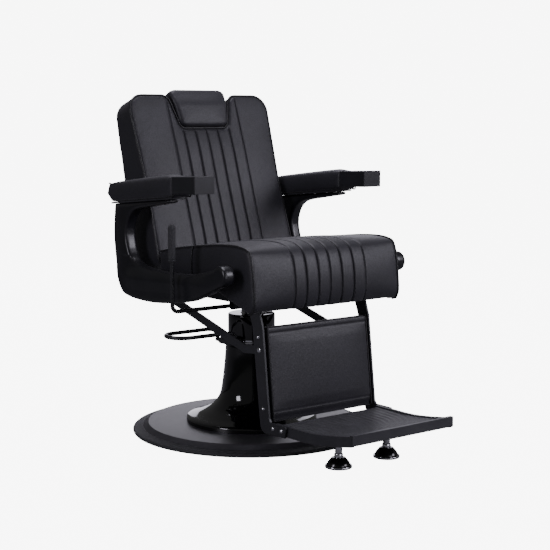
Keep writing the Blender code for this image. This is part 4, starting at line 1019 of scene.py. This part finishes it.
# ---------------------------------------------------------------- calf panel
# The calf panel is a plywood board under thin foam, wrapped in the same leather. The cover is
# folded over and top-stitched along its upper and lower edges, and piped down both sides.
calf_low, calf_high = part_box("calf_panel")
calf_edges = (calf_low.x + 0.004, calf_high.x - 0.004)
calf_rims = [rim_of("calf_panel", lambda corner: abs(corner.x - x) < 0.0004) for x in calf_edges]
calf_rise = calf_high.z - calf_low.z
calf_thick = 0.024
calf_lean = (calf_high.y - calf_low.y - calf_thick) / calf_rise


def calf_face(z):
    """The y of the panel's front face at height z."""
    return calf_low.y + (z - calf_low.z) * calf_lean


calf_seams = [p for rim in calf_rims for p in spaced(rim, 0.004)]
across = [calf_low.x + (calf_high.x - calf_low.x) * i / 90 for i in range(91)]
calf_bands = (calf_low.z + 0.026, calf_high.z - 0.016)
for z in (calf_low.z, calf_high.z, *calf_bands):
    for face in (calf_face(z), calf_face(z) + calf_thick):
        calf_seams += [Vector((x, face, z)) for x in across]
calf_cover = stuffed("calf_panel", 0.0050, 0.0050, calf_seams, hold=0.0035)
relaxed(calf_cover, 2)
finer(calf_cover)
band_depth = 0.0014
band_half_width = 0.0034
hem_set_back = 0.0060
calf_swell = 0.0022
for corner, normal in [(corner, corner.normal.copy()) for corner in calf_cover.data.vertices]:
    if normal.y < -0.4:
        x, _, height = corner.co
        for z in calf_bands:
            corner.co.y += band_depth * math.exp(-(((height - z) / band_half_width) ** 2))
        corner.co.y += hem_set_back * eased(calf_bands[0] - height, 0.0, 0.022)
        middle = (1 - abs(x / calf_high.x) ** 4) * eased(height, calf_bands[0], calf_bands[0] + 0.03)
        corner.co.y -= calf_swell * middle * (1 - eased(height, calf_bands[1] - 0.03, calf_bands[1]))
finished(calf_cover, "calf_panel_cover", black_leather, 80)
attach(calf_cover, "footrest")
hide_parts("calf_panel")
piping_ends = (calf_low.z + 0.004, calf_high.z - 0.004)
for side, x in (("right", calf_low.x + 0.0030), ("left", calf_high.x - 0.0030)):
    line = [Vector((x, calf_face(z) + 0.0012, z)) for z in piping_ends]
    piping("calf_piping_" + side, smooth_line(line, 6), "footrest", 0.0026)

# The thread is waxed polyester, 1.1 mm thick, in stitches 4.4 mm long and 6.4 mm apart.
waxed_thread = powder_coat("waxed_black_thread", "#0F0F11", "#1C1C1F", 0.5, 0.6)
thread = 0.00055
pitch = 0.0064
count = int((calf_high.x - calf_low.x - 0.020) / pitch)
stitch_line = [(0, 0, 0), (0.0022, -0.0005, 0), (0.0044, 0, 0)]
for band, z in enumerate(calf_bands):
    stitch_z = z + (0.0035 if band else -0.0035)
    stitches = []
    first = bent_bar("stitch", stitch_line, thread, waxed_thread, sides=8)
    for i in range(count):
        stitch = first.copy()
        stitch.data = first.data.copy()
        bpy.context.scene.collection.objects.link(stitch)
        x = calf_low.x + 0.010 + i * pitch
        stitch.data.transform(Matrix.Translation((x, calf_face(stitch_z) - 0.0006, stitch_z)))
        stitches.append(stitch)
    bpy.data.objects.remove(first, do_unlink=True)
    row = joined(stitches, f"calf_stitching_{band}", waxed_thread, 60)
    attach(row, "footrest")


# ---------------------------------------------------------------- backrest
# Foam on a plywood shell in a sewn cover: a front panel with seven sewn grooves that run up from the
# lower edge, piping round its outline and the headrest's notch, and smooth boxed sides.
lean = math.radians(18.4)
face_point = Vector((0, 0.213, 0.820))
face_up = Vector((0, math.sin(lean), math.cos(lean)))
face_out = Vector((0, -math.cos(lean), math.sin(lean)))
notch_bottom = 0.065
notch_half = 0.090
side_inset = 0.006
rear_depth = 0.083
taper = 0.16


def on_face(place):
    """(x, s, out): across the backrest, up its front face from the face's point, and out of it."""
    return place.x, (place - face_point).dot(face_up), (place - face_point).dot(face_out)


def from_face(x, s, out):
    return face_point + Vector((x, 0, 0)) + face_up * s + face_out * out


def on_rear_edge(corner):
    """True on the rear edge: the backrest grows thicker towards the seat."""
    _, s, out = on_face(corner)
    return abs(out + rear_depth + taper * (0.168 - s) - side_inset) < 0.0012


back_front = rim_of("back_cushion", lambda corner: abs(on_face(corner)[2] + side_inset) < 0.0004)
back_rear = rim_of("back_cushion", on_rear_edge)
back_seam_points = spaced(back_front, 0.004) + spaced(back_rear, 0.004)
back_cover = stuffed("back_cushion", 0.0062, 0.009, back_seam_points)
relaxed(back_cover, 3)
split_along(back_cover, SEAM_CUTS, (1, 0, 0))
finer(back_cover)
back_rim = KDTree(len(back_seam_points))
for index, point in enumerate(spaced(back_front, 0.004)):
    back_rim.insert(point, index)
back_rim.balance()


def back_panel(place, normal):
    """1 on the backrest's front, falling to 0 at its piping."""
    facing = min(1.0, max(0.0, (normal.dot(face_out) - 0.3) * 3))
    return facing * eased(back_rim.find(place)[2], 0.004, 0.011)


def under_notch(place):
    """True below the notch, where the seams under the headrest end."""
    return on_face(place)[1] < notch_bottom - 0.004


back_seams = [(place, under_notch if abs(place) < notch_half + 0.010 else whole_length) for place in SEAMS]
sewn_down(back_cover, back_seams, back_panel)
finished(back_cover, "back_cushion_cover", black_leather, 80)
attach(back_cover, "backrest")
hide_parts("back_cushion")
rim_line = []
for place in spaced(back_front, 0.012):
    x, s, out = on_face(place)
    rim_line.append(from_face(x - math.copysign(0.0016, x), s, out + 0.0022))
piping("back_piping", rim_line, "backrest", closed=True)


# ---------------------------------------------------------------- headrest
# A foam saddle in the same leather, with its top rolled back. It sits in the notch on a flat steel
# bar that slides in the backrest.
head_proud = 0.010
head_edges = (head_proud - 0.008, head_proud - 0.089)
head_seams = []
for edge in head_edges:
    head_rim = rim_of("headrest_cushion", lambda corner: abs(on_face(corner)[2] - edge) < 0.0004)
    head_seams += spaced(head_rim, 0.004)
head_cover = stuffed("headrest_cushion", 0.0048, 0.008, head_seams)
rolled_back = 0.012
rear_drop = 0.008
head_top = 0.186
for corner in head_cover.data.vertices:
    _, s, out = on_face(corner.co)
    roll = eased(s, 0.130, head_top)
    corner.co -= face_out * (rolled_back * roll * eased(out, -0.06, 0.01))
    corner.co -= face_up * (rear_drop * eased(-out, 0.0, 0.085) * eased(s, 0.150, head_top))
relaxed(head_cover, 9)
finer(head_cover)
finished(head_cover, "headrest_cushion_cover", black_leather, 80)
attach(head_cover, "headrest")
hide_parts("headrest_cushion")
